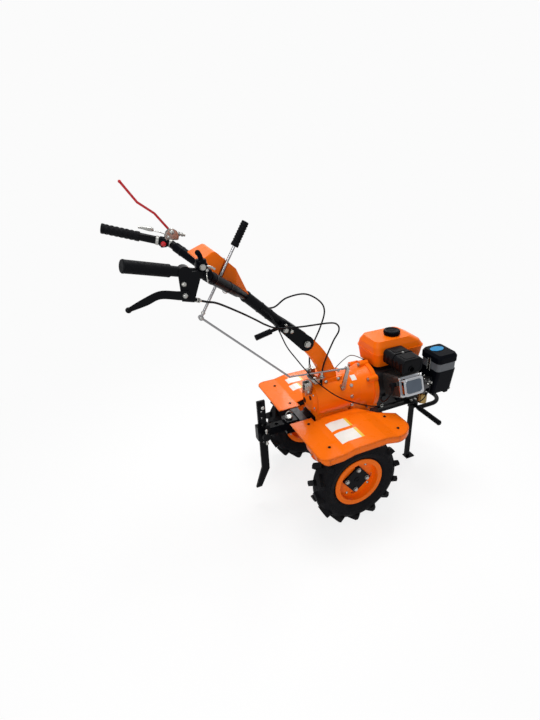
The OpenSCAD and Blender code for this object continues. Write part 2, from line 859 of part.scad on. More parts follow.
module valve_cover() {
  color([0.8, 0.8, 0.82]) on_cylinder() {
    pad([0, 0, head_at + head_t], fin_side + 4, fin_side - 20, 6, 10);
    pad([0, 0, head_at + head_t + 6], fin_side - 8, fin_side - 32, cover_t - 10, 14);
  }
}

module muffler() {
  color(black) difference() {
    union() {
      translate([muffler_x, muffler_near + muffler_len, muffler_z + muffler_h / 2]) rotate([90, 0, 0])
        linear_extrude(muffler_len) rounded(muffler_w, muffler_h, 20);
      translate([muffler_x - 14, port_y - 2, crank_z + 40]) cylinder(h = muffler_z - crank_z - 30, r = 13);
    }
    on_cylinder() translate([-fin_side, -fin_side, 0])
      cube([2 * fin_side, 1.5 * fin_side - 7, head_at + head_t]);
    across(muffler_x - 4, muffler_z + 22, 12, muffler_near - 1, muffler_near + 30);
  }
}

module air_base() {
  color(black) hull() {
    pad([cleaner_x + cleaner_w / 2, cleaner_y, cleaner_z], cleaner_w, cleaner_len - 40, 2, 12);
    pad([cleaner_x + cleaner_w / 2, cleaner_y, cleaner_z + 116], cleaner_w, cleaner_len, 2, 16);
  }
}

module air_band() {
  color([0.55, 0.55, 0.55])
    pad([cleaner_x + cleaner_w / 2, cleaner_y, cleaner_z + 118], cleaner_w - 4, cleaner_len - 4,
    40, 16);
}

module air_cover() {
  color(black) hull() {
    pad([cleaner_x + cleaner_w / 2, cleaner_y, cleaner_z + 158], cleaner_w + 4, cleaner_len + 4, 26, 18);
    pad([cleaner_x + cleaner_w / 2, cleaner_y, cleaner_z + 194], cleaner_w - 12, cleaner_len - 12, 3, 14);
  }
}

module carburettor() {
  x0 = cyl_x + fin_side / 2;
  y = carb_y;
  color([0.6, 0.55, 0.4]) {
    along(y, carb_z, 18, x0, cleaner_x);
    block([x0, y - 11, carb_z - 24], [x0 + 8, y + 20, carb_z + 24]);
    block([x0 + 22, y - 24, carb_z - 26], [x0 + 58, y + 24, carb_z + 22]);
    translate([x0 + 40, y, carb_z - 64]) cylinder(h = 40, r = 14);
    translate([x0 + 40, y, carb_z - 106]) cylinder(h = 44, r = 22);
  }
}

module fuel_tank() {
  color(orange) {
    hull() {
      pad([tank_x, tank_y, tank_z], tank_len - 26, tank_w - 26, 2, 24);
      pad([tank_x, tank_y, tank_z + tank_h * 0.5], tank_len - 6, tank_w - 6, 2, 30);
    }
    pad([tank_x, tank_y, tank_z + tank_h * 0.5 + 2], tank_len, tank_w, 5, 32);
    hull() {
      pad([tank_x, tank_y, tank_z + tank_h * 0.5 + 7], tank_len - 6, tank_w - 6, 2, 30);
      pad([tank_x - 8, tank_y, tank_z + tank_h * 0.76], tank_len - 24, tank_w - 20, 2, 30);
      pad([tank_x - 28, tank_y - 4, tank_z + tank_h - 2], tank_len - 86, tank_w - 50, 2, 26);
    }
  }
}

module fuel_cap() {
  color(black) {
    pad([tank_x - 6, tank_y - 14, tank_z + tank_h], 2 * cap_r - 8, 2 * cap_r - 8, 6, cap_r - 4.01);
    translate([tank_x - 6, tank_y - 14, tank_z + tank_h + 6]) cylinder(h = 16, r = cap_r);
  }
}

module fan_housing() {
  color([0.2, 0.2, 0.21]) along(0, crank_z, fan_r, block_end, block_end + 72);
}

module recoil_starter() {
  x = block_end + 72;
  color(black) {
    difference() {
      union() {
        along(0, crank_z, fan_r - 8, x, x + 22);
        translate([x + 22, 0, crank_z]) rotate([0, 90, 0]) cylinder(h = 16, r1 = fan_r - 8, r2 = fan_r - 34);
      }
      for (a = [0 : 30 : 330]) rotate_about_crank(a)
        block([x + 8, -7, crank_z + 34], [x + 60, 7, crank_z + fan_r - 26]);
    }
    rotate_about_crank(15) {
      block([x + 4, -10, crank_z + fan_r - 30], [x + 20, 10, crank_z + fan_r + 10]);
      across(x + 12, crank_z + fan_r + 14, 8, -28, 28);
    }
  }
}

// Route of the clutch cable from the handlebar to the gearbox
clutch_route = [on_handle(290, stem_r + 4, 0), on_handle(240, stem_r + 8, 0), [-220, 40, 940],
  [-160, 46, 968], [-76, 46, 972], [-8, 46, 930], [14, 46, 880], [-8, 46, 810], [-38, 46, 750],
  [-60, 46, 690], [-62, 46, 620], [-60, 46, crank_z + 78.6]];
// Route of the reverse cable from its lever to the gearbox
reverse_route = [nut_at + 0.6 * nut_dir, nut_at + 34 * nut_dir, [-508, -228, 1082], [-420, -160, 1016],
  [-350, -108, 960], [-300, -78, 920], [-250, -66, 894], [-151, -60, 878], [-16, -52, 867], [26, -48, 850],
  [34, -46, 820], [10, -44, 780], [-20, -44, 720], [-44, -46, 660], [-50, -46, crank_z + 78.6]];
// Route of the throttle cable from the handlebar to the carburettor
throttle_route = [on_handle(250, -stem_r - 3, 0), on_handle(215, -stem_r - 16, 0), [-250, -76, 890],
  [-225, -92, 820], [-190, -100, 762], [-150, -106, 702], [-100, -112, 636], [-10, -122, 550],
  [90, -130, 490],
  [170, -142, 460], [250, -190, 474], [300, -240, 492], [350, -250, 496], [392, -240, 524],
  [400, carb_y - 44, 550], [401, carb_y - 24.4, 556]];

module clutch_cable() {
  color(black) hose(clutch_route, 3.5, 7);
}

module reverse_cable() {
  color(black) hose(reverse_route, 3.5, 6);
}

module throttle_cable() {
  color(black) hose(throttle_route, 2.5, 6);
}

place() gearbox();
place() clutch_housing();
place() handle_post();
place() engine_frame();
place() front_bumper();
place() front_stand();
place() axle_left();
place() axle_right();
place() rim_left();
place() rim_right();
place() tyre_left();
place() tyre_right();
place() fender_left();
place() fender_right();
place() fender_bars();
place() hitch_bracket();
place() drawbar();
place() coulter();
place() handlebar_fork();
place() pivot_bolt();
place() clamp_lever();
place() handle_tube();
place() console_cover();
place() grip_left();
place() grip_right();
place() clutch_lever();
place() clutch_bracket();
place() reverse_lever();
place() reverse_bracket();
place() throttle_control();
place() stop_switch();
place() gear_lever();
place() gear_link();
place() selector_arm();
place() engine_block();
place() cylinder_head();
place() valve_cover();
place() muffler();
place() air_base();
place() air_band();
place() air_cover();
place() carburettor();
place() fuel_tank();
place() fuel_cap();
place() fan_housing();
place() recoil_starter();
place() clutch_cable();
place() reverse_cable();
place() throttle_cable();
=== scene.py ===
from math import cos, pi, radians, sin
import bpy
import bmesh
from mathutils import Matrix, Vector


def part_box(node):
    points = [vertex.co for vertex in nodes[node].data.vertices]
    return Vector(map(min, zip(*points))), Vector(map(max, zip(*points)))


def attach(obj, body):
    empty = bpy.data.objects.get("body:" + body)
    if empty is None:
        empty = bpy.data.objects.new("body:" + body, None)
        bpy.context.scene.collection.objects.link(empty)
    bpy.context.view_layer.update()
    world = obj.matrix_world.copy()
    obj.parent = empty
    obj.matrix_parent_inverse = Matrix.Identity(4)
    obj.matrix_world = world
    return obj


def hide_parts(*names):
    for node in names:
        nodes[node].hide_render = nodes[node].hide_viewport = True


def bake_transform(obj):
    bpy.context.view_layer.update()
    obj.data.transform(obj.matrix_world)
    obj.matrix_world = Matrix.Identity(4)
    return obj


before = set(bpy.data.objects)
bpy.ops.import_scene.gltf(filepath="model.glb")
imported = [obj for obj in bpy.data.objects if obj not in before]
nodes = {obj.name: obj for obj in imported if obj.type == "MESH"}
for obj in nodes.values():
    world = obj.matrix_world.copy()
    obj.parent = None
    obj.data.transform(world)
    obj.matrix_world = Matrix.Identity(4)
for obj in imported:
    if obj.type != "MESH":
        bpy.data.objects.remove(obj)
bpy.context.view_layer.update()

scene = bpy.context.scene

UP, DOWN = Vector((0, 0, 1)), Vector((0, 0, -1))
LEFT, RIGHT = Vector((0, 1, 0)), Vector((0, -1, 0))
FORE, AFT = Vector((1, 0, 0)), Vector((-1, 0, 0))

# Lengths below are millimetres from the middle of the wheel axle, as in the part's source
low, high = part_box("tyre_left")
AXLE_X = (low[0] + high[0]) / 2
AXLE_Z = 207.0
CRANK_Z = 500.0
WHEEL_Y = 264.0
HUB_FACE = 286.0
FENDER_TOP, FENDER_LOW = 447.0, 435.0
BOLT_BACK, BOLT_FRONT = -142.0, 185.0
HITCH_X, COULTER_X = -192.0, -320.0
BAR_X, BAR_Z = 437.0, 372.0
CARB_X, CARB_Y = 401.0, -194.967
TAP_X, TAP_Y = 404.0, -34.0
MUFFLER_X, MUFFLER_Y, MUFFLER_Z = 311.0, -138.0, 661.0
OUTLET_X, OUTLET_Z = 307.0, 648.0
CLEANER_X, CLEANER_Y = 480.0, -168.0


def at(p):
    """A point of the drawing, in metres in the frame."""
    return Vector((AXLE_X + p[0] / 1000, p[1] / 1000, p[2] / 1000))


RISE = radians(44.5)
PIVOT = Vector((-112.3417, 0.0, 787.3983))
ALONG = Vector((-cos(RISE), 0, sin(RISE)))
ABOVE = Vector((sin(RISE), 0, cos(RISE)))
STEM = 325.0
MERGE = PIVOT + STEM * ALONG
BEND = PIVOT + (STEM + 263) * ALONG - 19 * ABOVE + Vector((0, 250, 0))
GRIP_END = BEND + Vector((-225, 60, 64))
GRIP_DIR = (GRIP_END - BEND).normalized()
GRIP_LEN = 132.0
GRIP_START = GRIP_END - GRIP_LEN * GRIP_DIR
LEVER_AT = BEND + 0.3 * (GRIP_END - BEND)
NUT_DIR = Vector((0.8, 0.45, -0.4))
NUT_AT = Vector((LEVER_AT.x + 10, -LEVER_AT.y - 17.5, LEVER_AT.z - 76)) + 34 * NUT_DIR


def on_handle(u, y, n):
    """A point of the handlebar, u along its rise and n above it."""
    return PIVOT + u * ALONG + n * ABOVE + Vector((0, y, 0))


def flip(p):
    """The same point on the right side."""
    return Vector((p[0], -p[1], p[2]))


KNEES = (flip(BEND), BEND)


# Materials


def srgb(r, g, b):
    """A colour as seen, 0 to 255, for a shader."""
    def one(v):
        v /= 255
        return v / 12.92 if v <= 0.04045 else ((v + 0.055) / 1.055) ** 2.4
    return (one(r), one(g), one(b), 1.0)


class Tree:
    """A node tree under construction."""

    def __init__(self, owner, output):
        owner.use_nodes = True
        self.tree = owner.node_tree
        self.tree.nodes.clear()
        self.out = self.node(output)

    def node(self, kind, **values):
        n = self.tree.nodes.new(kind)
        for key, value in values.items():
            setattr(n, key, value)
        return n

    def link(self, a, b):
        self.tree.links.new(a, b)

    def span(self, value, a, b, c, d):
        """A value brought from the range a to b into the range c to d."""
        n = self.node("ShaderNodeMapRange")
        self.link(value, n.inputs["Value"])
        for key, v in zip(("From Min", "From Max", "To Min", "To Max"), (a, b, c, d)):
            n.inputs[key].default_value = v
        return n.outputs[0]

    def math(self, op, a, b):
        n = self.node("ShaderNodeMath", operation=op)
        self.link(a, n.inputs[0])
        self.link(b, n.inputs[1])
        return n.outputs[0]

    def plain(self, kind, grey, strength):
        """A shader that gives off one grey."""
        n = self.node(kind)
        n.inputs["Color"].default_value = (grey, grey, grey, 1)
        n.inputs["Strength"].default_value = strength
        return n.outputs[0]

    def mixed(self, factor, a, b):
        n = self.node("ShaderNodeMixShader")
        for i, v in enumerate((factor, a, b)):
            self.link(v, n.inputs[i])
        return n.outputs[0]

    def as_seen(self, bounced, shown):
        """One shader for light that bounces, another for what camera, gloss and glass show."""
        rays = self.node("ShaderNodeLightPath")
        through = self.math("MAXIMUM", rays.outputs["Is Glossy Ray"], rays.outputs["Is Transmission Ray"])
        seen = self.math("MAXIMUM", rays.outputs["Is Camera Ray"], through)
        self.link(self.mixed(seen, bounced, shown), self.out.inputs["Surface"])


class Look(Tree):
    """A material."""

    def __init__(self, name):
        self.mat = bpy.data.materials.new(name)
        super().__init__(self.mat, "ShaderNodeOutputMaterial")
        self.shader = self.node("ShaderNodeBsdfPrincipled")
        self.link(self.shader.outputs[0], self.out.inputs["Surface"])
        self.coord = self.node("ShaderNodeTexCoord")

    def noise(self, scale, detail, rough):
        n = self.node("ShaderNodeTexNoise")
        for key, v in (("Scale", scale), ("Detail", detail), ("Roughness", rough)):
            n.inputs[key].default_value = v
        self.link(self.coord.outputs["Object"], n.inputs["Vector"])
        return n.outputs[0]

    def mix(self, factor, tone, colour):
        """A tone with a colour laid over it."""
        n = self.node("ShaderNodeMix", data_type="RGBA")
        self.link(factor, n.inputs[0])
        self.link(tone, n.inputs[6])
        n.inputs[7].default_value = colour
        return n.outputs[2]

    def height(self, kind):
        """Z of a place or of a normal."""
        n = self.node("ShaderNodeSeparateXYZ")
        self.link(self.coord.outputs[kind], n.inputs[0])
        return n.outputs[2]

    def bevel(self, radius):
        n = self.node("ShaderNodeBevel", samples=4)
        n.inputs["Radius"].default_value = radius
        return n.outputs[0]


DUST = srgb(188, 176, 158)
WEAR_AND_HIGHLIGHT_EDGE = 0.0025
RELIEF = 0.0004


def finish(name, colour, rough, metal=0.0, mottle=0.08, mottle_scale=7.0, grain=0.0, grain_scale=500.0,
           rough_span=0.08, dust=0.0, edge=None, coat=0.0, coat_rough=0.1, spec=0.5, round_mm=0.8, tint=None,
           above=None):
    """A procedural surface: mottled colour, uneven gloss, fine relief, dust on top and worn edges, which on the tyre
    are also a painted highlight.

    edge and tint give a colour and its share, above a level in metres and the colour over it.
    """
    k = Look(name)
    value = k.span(k.noise(mottle_scale, 4.0, 0.55), 0.3, 0.7, 1 - mottle, 1 + mottle)
    shade = k.node("ShaderNodeHueSaturation")
    shade.inputs["Color"].default_value = colour
    k.link(value, shade.inputs["Value"])
    tone = shade.outputs[0]
    if tint:
        stain, share = tint
        tone = k.mix(k.span(k.noise(mottle_scale * 2.3, 5.0, 0.6), 0.45, 0.7, 0.0, share), tone, stain)
    if above:
        level, upper = above
        tone = k.mix(k.span(k.height("Object"), level, level + 0.001, 0.0, 1.0), tone, upper)
    if dust:
        top = k.span(k.height("Normal"), 0.2, 1.0, 0.0, 1.0)
        spots = k.span(k.noise(38.0, 6.0, 0.65), 0.42, 0.75, 0.0, dust)
        tone = k.mix(k.math("MULTIPLY", top, spots), tone, DUST)
    # Edge tone: worn paint or metal on most finishes; on the tyre also a painted highlight along the lug edges.
    if edge:
        edge_wear_and_highlight_tone, share = edge
        dot = k.node("ShaderNodeVectorMath", operation="DOT_PRODUCT")
        k.link(k.bevel(WEAR_AND_HIGHLIGHT_EDGE), dot.inputs[0])
        k.link(k.node("ShaderNodeNewGeometry").outputs["Normal"], dot.inputs[1])
        rim = k.span(dot.outputs["Value"], 0.985, 0.86, 0.0, 1.0)
        edge_chips_and_highlight = k.span(k.noise(120.0, 5.0, 0.7), 0.5, 0.62, 0.0, share)
        tone = k.mix(k.math("MULTIPLY", rim, edge_chips_and_highlight), tone, edge_wear_and_highlight_tone)
    k.link(tone, k.shader.inputs["Base Color"])
    gloss = k.span(k.noise(mottle_scale * 4, 5.0, 0.6), 0.3, 0.7, max(0.03, rough - rough_span),
                   min(1.0, rough + rough_span))
    k.link(gloss, k.shader.inputs["Roughness"])
    bump = k.node("ShaderNodeBump")
    bump.inputs["Strength"].default_value = min(1.0, grain)
    bump.inputs["Distance"].default_value = RELIEF
    k.link(k.noise(grain_scale, 3.0, 0.6), bump.inputs["Height"])
    k.link(k.bevel(round_mm / 1000), bump.inputs["Normal"])
    k.link(bump.outputs[0], k.shader.inputs["Normal"])
    for key, v in (("Metallic", metal), ("Specular IOR Level", spec), ("Coat Weight", coat),
                   ("Coat Roughness", coat_rough)):
        k.shader.inputs[key].default_value = v
    return k.mat


SIGNAL_ORANGE = srgb(252, 114, 8)
PAINT = {"mottle": 0.03, "grain_scale": 420.0, "rough_span": 0.06, "spec": 0.1}
PAPER = {"mottle_scale": 40.0, "grain": 0.02, "dust": 0.08, "coat": 0.2}
ORANGE = finish("orange_powder_coat", SIGNAL_ORANGE, 0.34, grain=0.05, dust=0.012, edge=(srgb(126, 62, 24), 0.3),
                coat=0.06, coat_rough=0.06, **PAINT)
PRESSED = finish("orange_pressed_sheet", SIGNAL_ORANGE, 0.3, grain=0.04, dust=0.015, edge=(srgb(150, 70, 20), 0.1),
                 coat=0.1, coat_rough=0.05, round_mm=14.0, **PAINT)
BLACK = finish("black_enamel", srgb(9, 10, 14), 0.34, mottle=0.12, grain=0.05, grain_scale=420.0, dust=0.012,
               edge=(srgb(52, 48, 46), 0.2), coat=0.08, coat_rough=0.06, spec=0.03)
ZINC = finish("zinc_plate", srgb(158, 158, 155), 0.26, metal=1.0, mottle=0.05, mottle_scale=18.0, grain=0.03,
              grain_scale=600.0, rough_span=0.06, tint=(srgb(150, 141, 112), 0.12))
STEEL = finish("plated_rod", srgb(138, 138, 140), 0.22, metal=1.0, mottle=0.04, mottle_scale=14.0, grain=0.02,
               rough_span=0.06, tint=(srgb(110, 104, 94), 0.08))
DARK_STEEL = finish("dark_steel", srgb(52, 51, 52), 0.42, metal=0.7, mottle=0.12, mottle_scale=20.0, grain=0.1,
                    grain_scale=600.0, rough_span=0.1, edge=(srgb(130, 128, 124), 0.4))
RUBBER = finish("grip_rubber", srgb(9, 10, 14), 0.55, mottle=0.12, mottle_scale=25.0, grain=0.25, grain_scale=1200.0,
                rough_span=0.1, dust=0.008, spec=0.07)
# Tyre: its lighter edges are partly wear and partly a painted highlight that picks out the lugs.
TYRE = finish("tyre_rubber", srgb(11, 11, 15), 0.72, mottle=0.2, mottle_scale=14.0, grain=0.4, grain_scale=700.0,
              rough_span=0.1, dust=0.03, edge=(srgb(50, 47, 44), 0.5), spec=0.09, tint=(srgb(30, 27, 25), 0.2))
RED = finish("red_enamel", srgb(190, 22, 34), 0.3, mottle=0.05, grain=0.04, grain_scale=420.0, coat=0.2, spec=0.3,
             edge=(srgb(110, 40, 40), 0.3))
PLASTIC = finish("black_plastic", srgb(8, 10, 16), 0.36, mottle=0.1, grain=0.12, grain_scale=1400.0, rough_span=0.07,
                 dust=0.006, spec=0.02, coat=0.02, coat_rough=0.08)
GREY = finish("grey_plastic", srgb(96, 99, 104), 0.46, mottle=0.06, grain=0.2, grain_scale=1400.0, dust=0.03, spec=0.3)
FINS = finish("cylinder_fins", srgb(62, 61, 60), 0.5, metal=0.6, mottle=0.14, mottle_scale=18.0, grain=0.4,
              grain_scale=520.0, rough_span=0.1, tint=(srgb(44, 40, 36), 0.4))
DARK_ALLOY = finish("engine_black", srgb(24, 24, 26), 0.46, metal=0.1, mottle=0.15, mottle_scale=16.0, grain=0.5,
                    grain_scale=520.0, rough_span=0.1, edge=(srgb(90, 88, 84), 0.3), spec=0.2)
CHROME = finish("chrome_cover", srgb(172, 174, 178), 0.1, metal=1.0, mottle=0.05, mottle_scale=12.0, grain=0.02,
                grain_scale=300.0, rough_span=0.04)
# Darker blue-grey chrome for the valve cover's inner panel: a painted dark reflection.
CHROME_PAINTED_REFLECTION = finish("chrome_painted_dark_reflection", srgb(82, 90, 100), 0.08, metal=1.0, mottle=0.06, mottle_scale=14.0, grain=0.02,
                     grain_scale=300.0, rough_span=0.04)
BOWL_TOP = 0.496
BRASS = finish("brass_bowl", srgb(150, 126, 78), 0.32, metal=1.0, mottle=0.14, mottle_scale=30.0, grain=0.1,
               rough_span=0.1, tint=(srgb(104, 84, 54), 0.4), above=(BOWL_TOP, srgb(74, 73, 74)))
SHEATH = finish("cable_sheath", srgb(9, 10, 13), 0.34, mottle=0.12, mottle_scale=40.0, grain=0.06, grain_scale=900.0,
                spec=0.08)
WHITE = finish("label_white", srgb(238, 236, 230), 0.36, mottle=0.03, **PAPER)
YELLOW = finish("label_yellow", srgb(236, 196, 40), 0.36, mottle=0.04, **PAPER)
BLUE = finish("oval_blue", srgb(14, 132, 188), 0.32, mottle=0.05, mottle_scale=40.0, grain=0.04, coat=0.06, spec=0.15)
SOOT = finish("soot", srgb(12, 12, 12), 0.9, mottle=0.3, mottle_scale=60.0, grain=0.5, spec=0.1)
HOSE = finish("fuel_hose", srgb(30, 28, 27), 0.55, mottle=0.12, mottle_scale=50.0, grain=0.2, grain_scale=900.0)
BROWN = finish("thin_wire", srgb(44, 32, 27), 0.45, mottle=0.12, mottle_scale=60.0, grain=0.1)

NODES_OF = {
    ORANGE: "gearbox clutch_housing handle_post rim_left rim_right console_cover fuel_tank",
    PRESSED: "fender_left fender_right",
    BLACK: "engine_frame front_bumper front_stand axle_left axle_right hitch_bracket drawbar coulter handlebar_fork "
           "clamp_lever handle_tube reverse_lever reverse_bracket muffler fan_housing",
    ZINC: "pivot_bolt clutch_bracket selector_arm",
    STEEL: "gear_lever gear_link",
    DARK_STEEL: "fender_bars",
    RUBBER: "grip_left grip_right",
    TYRE: "tyre_left tyre_right",
    RED: "clutch_lever stop_switch",
    PLASTIC: "throttle_control air_base air_cover fuel_cap recoil_starter",
    GREY: "air_band",
    FINS: "cylinder_head",
    DARK_ALLOY: "engine_block",
    CHROME: "valve_cover",
    BRASS: "carburettor",
    SHEATH: "clutch_cable reverse_cable throttle_cable",
}
for look, names in NODES_OF.items():
    for name in names.split():
        mesh = nodes[name].data
        mesh.materials.clear()
        mesh.materials.append(look)

# Drawing


def basis(direction):
    """Two directions square to this one, and this one at length 1."""
    w = Vector(direction).normalized()
    side = UP if abs(w.z) < 0.9 else FORE
    u = side.cross(w).normalized()
    return u, w.cross(u), w


class Draft:
    """Faces of one piece, in millimetres from the axle."""

    def __init__(self):
        self.points = []
        self.faces = []
        self.marks = []
        self.mark = 0

    def add(self, points, faces):
        k = len(self.points)
        self.points += [Vector(p) for p in points]
        self.faces += [tuple(i + k for i in f) for f in faces]
        self.marks += [self.mark] * len(faces)
        return self

    def rings(self, rings, closed=True, caps=True):
        """Skin over a row of rings that have the same number of points."""
        n = len(rings[0])
        points = [p for r in rings for p in r]
        faces = []
        for i in range(len(rings) - 1):
            for k in range(n if closed else n - 1):
                a, b = i * n + k, i * n + (k + 1) % n
                faces.append((a, b, b + n, a + n))
        if caps:
            faces.append(tuple(range(n - 1, -1, -1)))
            faces.append(tuple(range((len(rings) - 1) * n, len(rings) * n)))
        return self.add(points, faces)

    def lathe(self, origin, direction, profile, n=28, shape=None):
        """Turned form: profile gives radius and height; shape changes the radius round the turn."""
        u, v, w = basis(direction)
        rings = []
        for r, h in profile:
            ring = []
            for k in range(n):
                a = 2 * pi * k / n
                q = r if shape is None else shape(r, h, a)
                ring.append(Vector(origin) + w * h + (u * cos(a) + v * sin(a)) * q)
            rings.append(ring)
        if profile[0][0] > 1 and profile[-1][0] > 1:
            return self.rings(rings + rings[:1], caps=False)
        return self.rings(rings)

    def tube(self, path, r, n=10):
        """Round bar along a path; r is one radius or one for each point."""
        path = [Vector(p) for p in path]
        radii = r if isinstance(r, (list, tuple)) else [r] * len(path)
        u = basis(path[1] - path[0])[0]
        rings = []
        for i, p in enumerate(path):
            t = (path[min(i + 1, len(path) - 1)] - path[max(i - 1, 0)]).normalized()
            u = (u - t * u.dot(t)).normalized()
            v = t.cross(u)
            turns = (2 * pi * k / n for k in range(n))
            rings.append([p + (u * cos(a) + v * sin(a)) * radii[i] for a in turns])
        return self.rings(rings)

    def slab(self, outline, origin, u, v, thick, bevel=0.0):
        """Plate of an outline in the plane of u and v, with chamfered edges."""
        origin, u, v = Vector(origin), Vector(u), Vector(v)
        w = u.cross(v).normalized()
        corners = [Vector(p) for p in outline]
        trios = list(zip(corners[-1:] + corners, corners, corners[1:] + corners[:1]))

        def ring(inset, height):
            points = []
            for a, b, c in trios:
                d1, d2 = (b - a).normalized(), (c - b).normalized()
                m = Vector((-d1.y - d2.y, d1.x + d2.x))
                p = b + m / max(0.35, m.length_squared / 2) * inset
                points.append(origin + u * p.x + v * p.y + w * height)
            return points

        if not bevel:
            return self.rings([ring(0, 0), ring(0, thick)])
        area = sum(b.x * c.y - c.x * b.y for a, b, c in trios)
        inset = bevel if area > 0 else -bevel
        return self.rings([ring(inset, 0), ring(0, bevel), ring(0, thick - bevel), ring(inset, thick)])

    def brick(self, a, b, bevel=1.0):
        """Box between any two opposite corners, with rounded edges."""
        a, b = Vector([*map(min, a, b)]), Vector([*map(max, a, b)])
        size = b - a
        box = bmesh.new()
        bmesh.ops.create_cube(box, size=1.0)
        for vert in box.verts:
            vert.co = vert.co * size
        bmesh.ops.bevel(box, geom=box.edges[:], offset=min(bevel, min(size) * 0.45), segments=2,
                        affect="EDGES", profile=0.5)
        box.verts.index_update()
        points = [(a + b) / 2 + vert.co for vert in box.verts]
        faces = [tuple(vert.index for vert in f.verts) for f in box.faces]
        box.free()
        return self.add(points, faces)

    def ball(self, middle, r, n=16):
        rings = max(6, n // 2)
        turns = (pi * k / rings for k in range(rings + 1))
        return self.lathe(middle, UP, [(r * sin(a) + 0.01, -r * cos(a)) for a in turns], n)

    def washer(self, p, direction, size):
        """Washer on a face for a thread of this size; gives its height."""
        r = size * 1.05
        self.lathe(p, direction, [(0.01, -0.4), (r, -0.4), (r, 1.1), (r - 0.4, 1.5), (0.01, 1.5)], 24)
        return 1.5

    def bolt(self, p, direction, size, washer=True, turn=0.2):
        """Hexagon head on a face; size is the thread."""
        p = Vector(p)
        u, v, w = basis(direction)
        start = self.washer(p, w, size) if washer else 0.0
        r, high = size * 0.96, size * 0.62

        def hexagon(radius, h):
            turns = (turn + pi * k / 3 for k in range(6))
            return [p + w * h + (u * cos(a) + v * sin(a)) * radius for a in turns]

        return self.rings([hexagon(r, start), hexagon(r, start + high * 0.82), hexagon(r * 0.84, start + high)])

    def screw(self, p, direction, size, washer=True):
        """Round head on a face; size is the thread."""
        start = self.washer(p, direction, size) if washer else 0.0
        r = size * 0.95
        dome = [(r * cos(a), start + r * 0.6 * sin(a)) for a in (0, 0.25, 0.5, 0.8, 1.1, 1.35)]
        return self.lathe(p, direction, [(0.01, start)] + dome + [(0.01, start + r * 0.6)], 20)

    def coil(self, a, b, radius, wire, turns):
        """Helical spring from a to b."""
        a, b = Vector(a), Vector(b)
        u, v, w = basis(b - a)
        steps = int(turns * 14)
        path = []
        for k in range(steps + 1):
            t = 2 * pi * turns * k / steps
            path.append(a + w * ((b - a).length * k / steps) + (u * cos(t) + v * sin(t)) * radius)
        return self.tube(path, wire, 7)


def piece(name, draft, body, *looks, sharp=32.0, slot=None):
    """Turns a draft into a piece that rides on a body."""
    mesh = bpy.data.meshes.new(name)
    mesh.from_pydata([at(p) for p in draft.points], [], draft.faces)
    for look in looks:
        mesh.materials.append(look)
    mesh.polygons.foreach_set("material_index", draft.marks)
    shape = bmesh.new()
    shape.from_mesh(mesh)
    bmesh.ops.recalc_face_normals(shape, faces=shape.faces[:])
    shape.to_mesh(mesh)
    shape.free()
    mesh.polygons.foreach_set("use_smooth", [True] * len(mesh.polygons))
    mesh.set_sharp_from_angle(angle=radians(sharp))
    obj = bpy.data.objects.new(name, mesh)
    scene.collection.objects.link(obj)
    if body:
        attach(obj, body)
    return obj


def smooth_path(route, steps):
    """Points of a smooth curve through a route."""
    route = [Vector(p) for p in route]
    line = []
    for i in range(len(route) - 1):
        a, b = route[max(i - 1, 0)], route[i]
        c, d = route[i + 1], route[min(i + 2, len(route) - 1)]
        for k in range(steps):
            t = k / steps
            line.append(0.5 * (2 * b + (c - a) * t + (2 * a - 5 * b + 4 * c - d) * t * t
                               + (3 * b - a - 3 * c + d) * t * t * t))
    return line + [route[-1]]


def loop(middle, u, v, n):
    """Points of a closed ring, from v towards u."""
    turns = (2 * pi * k / n for k in range(n + 1))
    return [Vector(middle) + sin(a) * Vector(u) + cos(a) * Vector(v) for a in turns]


def cord(name, route, radius, sides, look, node=None):
    """A cord along a smooth route; with a node it stands for that cable."""
    line = smooth_path(route, 8)
    obj = piece(name, Draft().tube(line, radius, sides), None if node else "chassis", look)
    if node:
        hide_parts(node)
        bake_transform(obj)


def rounded(x, y, r, n=5):
    """Outline of a rectangle with round corners."""
    r = min(r, x / 2 - 0.01, y / 2 - 0.01)
    points = []
    for cx, cy, a0 in ((x / 2 - r, y / 2 - r, 0), (-x / 2 + r, y / 2 - r, 90), (-x / 2 + r, -y / 2 + r, 180),
                       (x / 2 - r, -y / 2 + r, 270)):
        for k in range(n + 1):
            a = radians(a0 + 90 * k / n)
            points.append((cx + r * cos(a), cy + r * sin(a)))
    return points


# Camera

CAMERA_AT = (-853.585, -1601.564, 1549.544)
camera = bpy.data.objects.new("camera", bpy.data.cameras.new("camera"))
scene.collection.objects.link(camera)
yaw, pitch = 0.490755, 0.489532
right = Vector((cos(yaw), -sin(yaw), 0))
up = Vector((sin(yaw) * sin(pitch), cos(yaw) * sin(pitch), cos(pitch)))
back = -Vector((sin(yaw) * cos(pitch), cos(yaw) * cos(pitch), -sin(pitch)))
turned = Matrix((right, up, back)).transposed().to_4x4()
camera.matrix_world = Matrix.Translation(at(CAMERA_AT)) @ turned
lens = camera.data
lens.lens, lens.sensor_width = 22.741, 36.0
lens.shift_x, lens.shift_y = -0.0792, 0.0247
lens.clip_start, lens.clip_end = 0.05, 60.0
scene.camera = camera
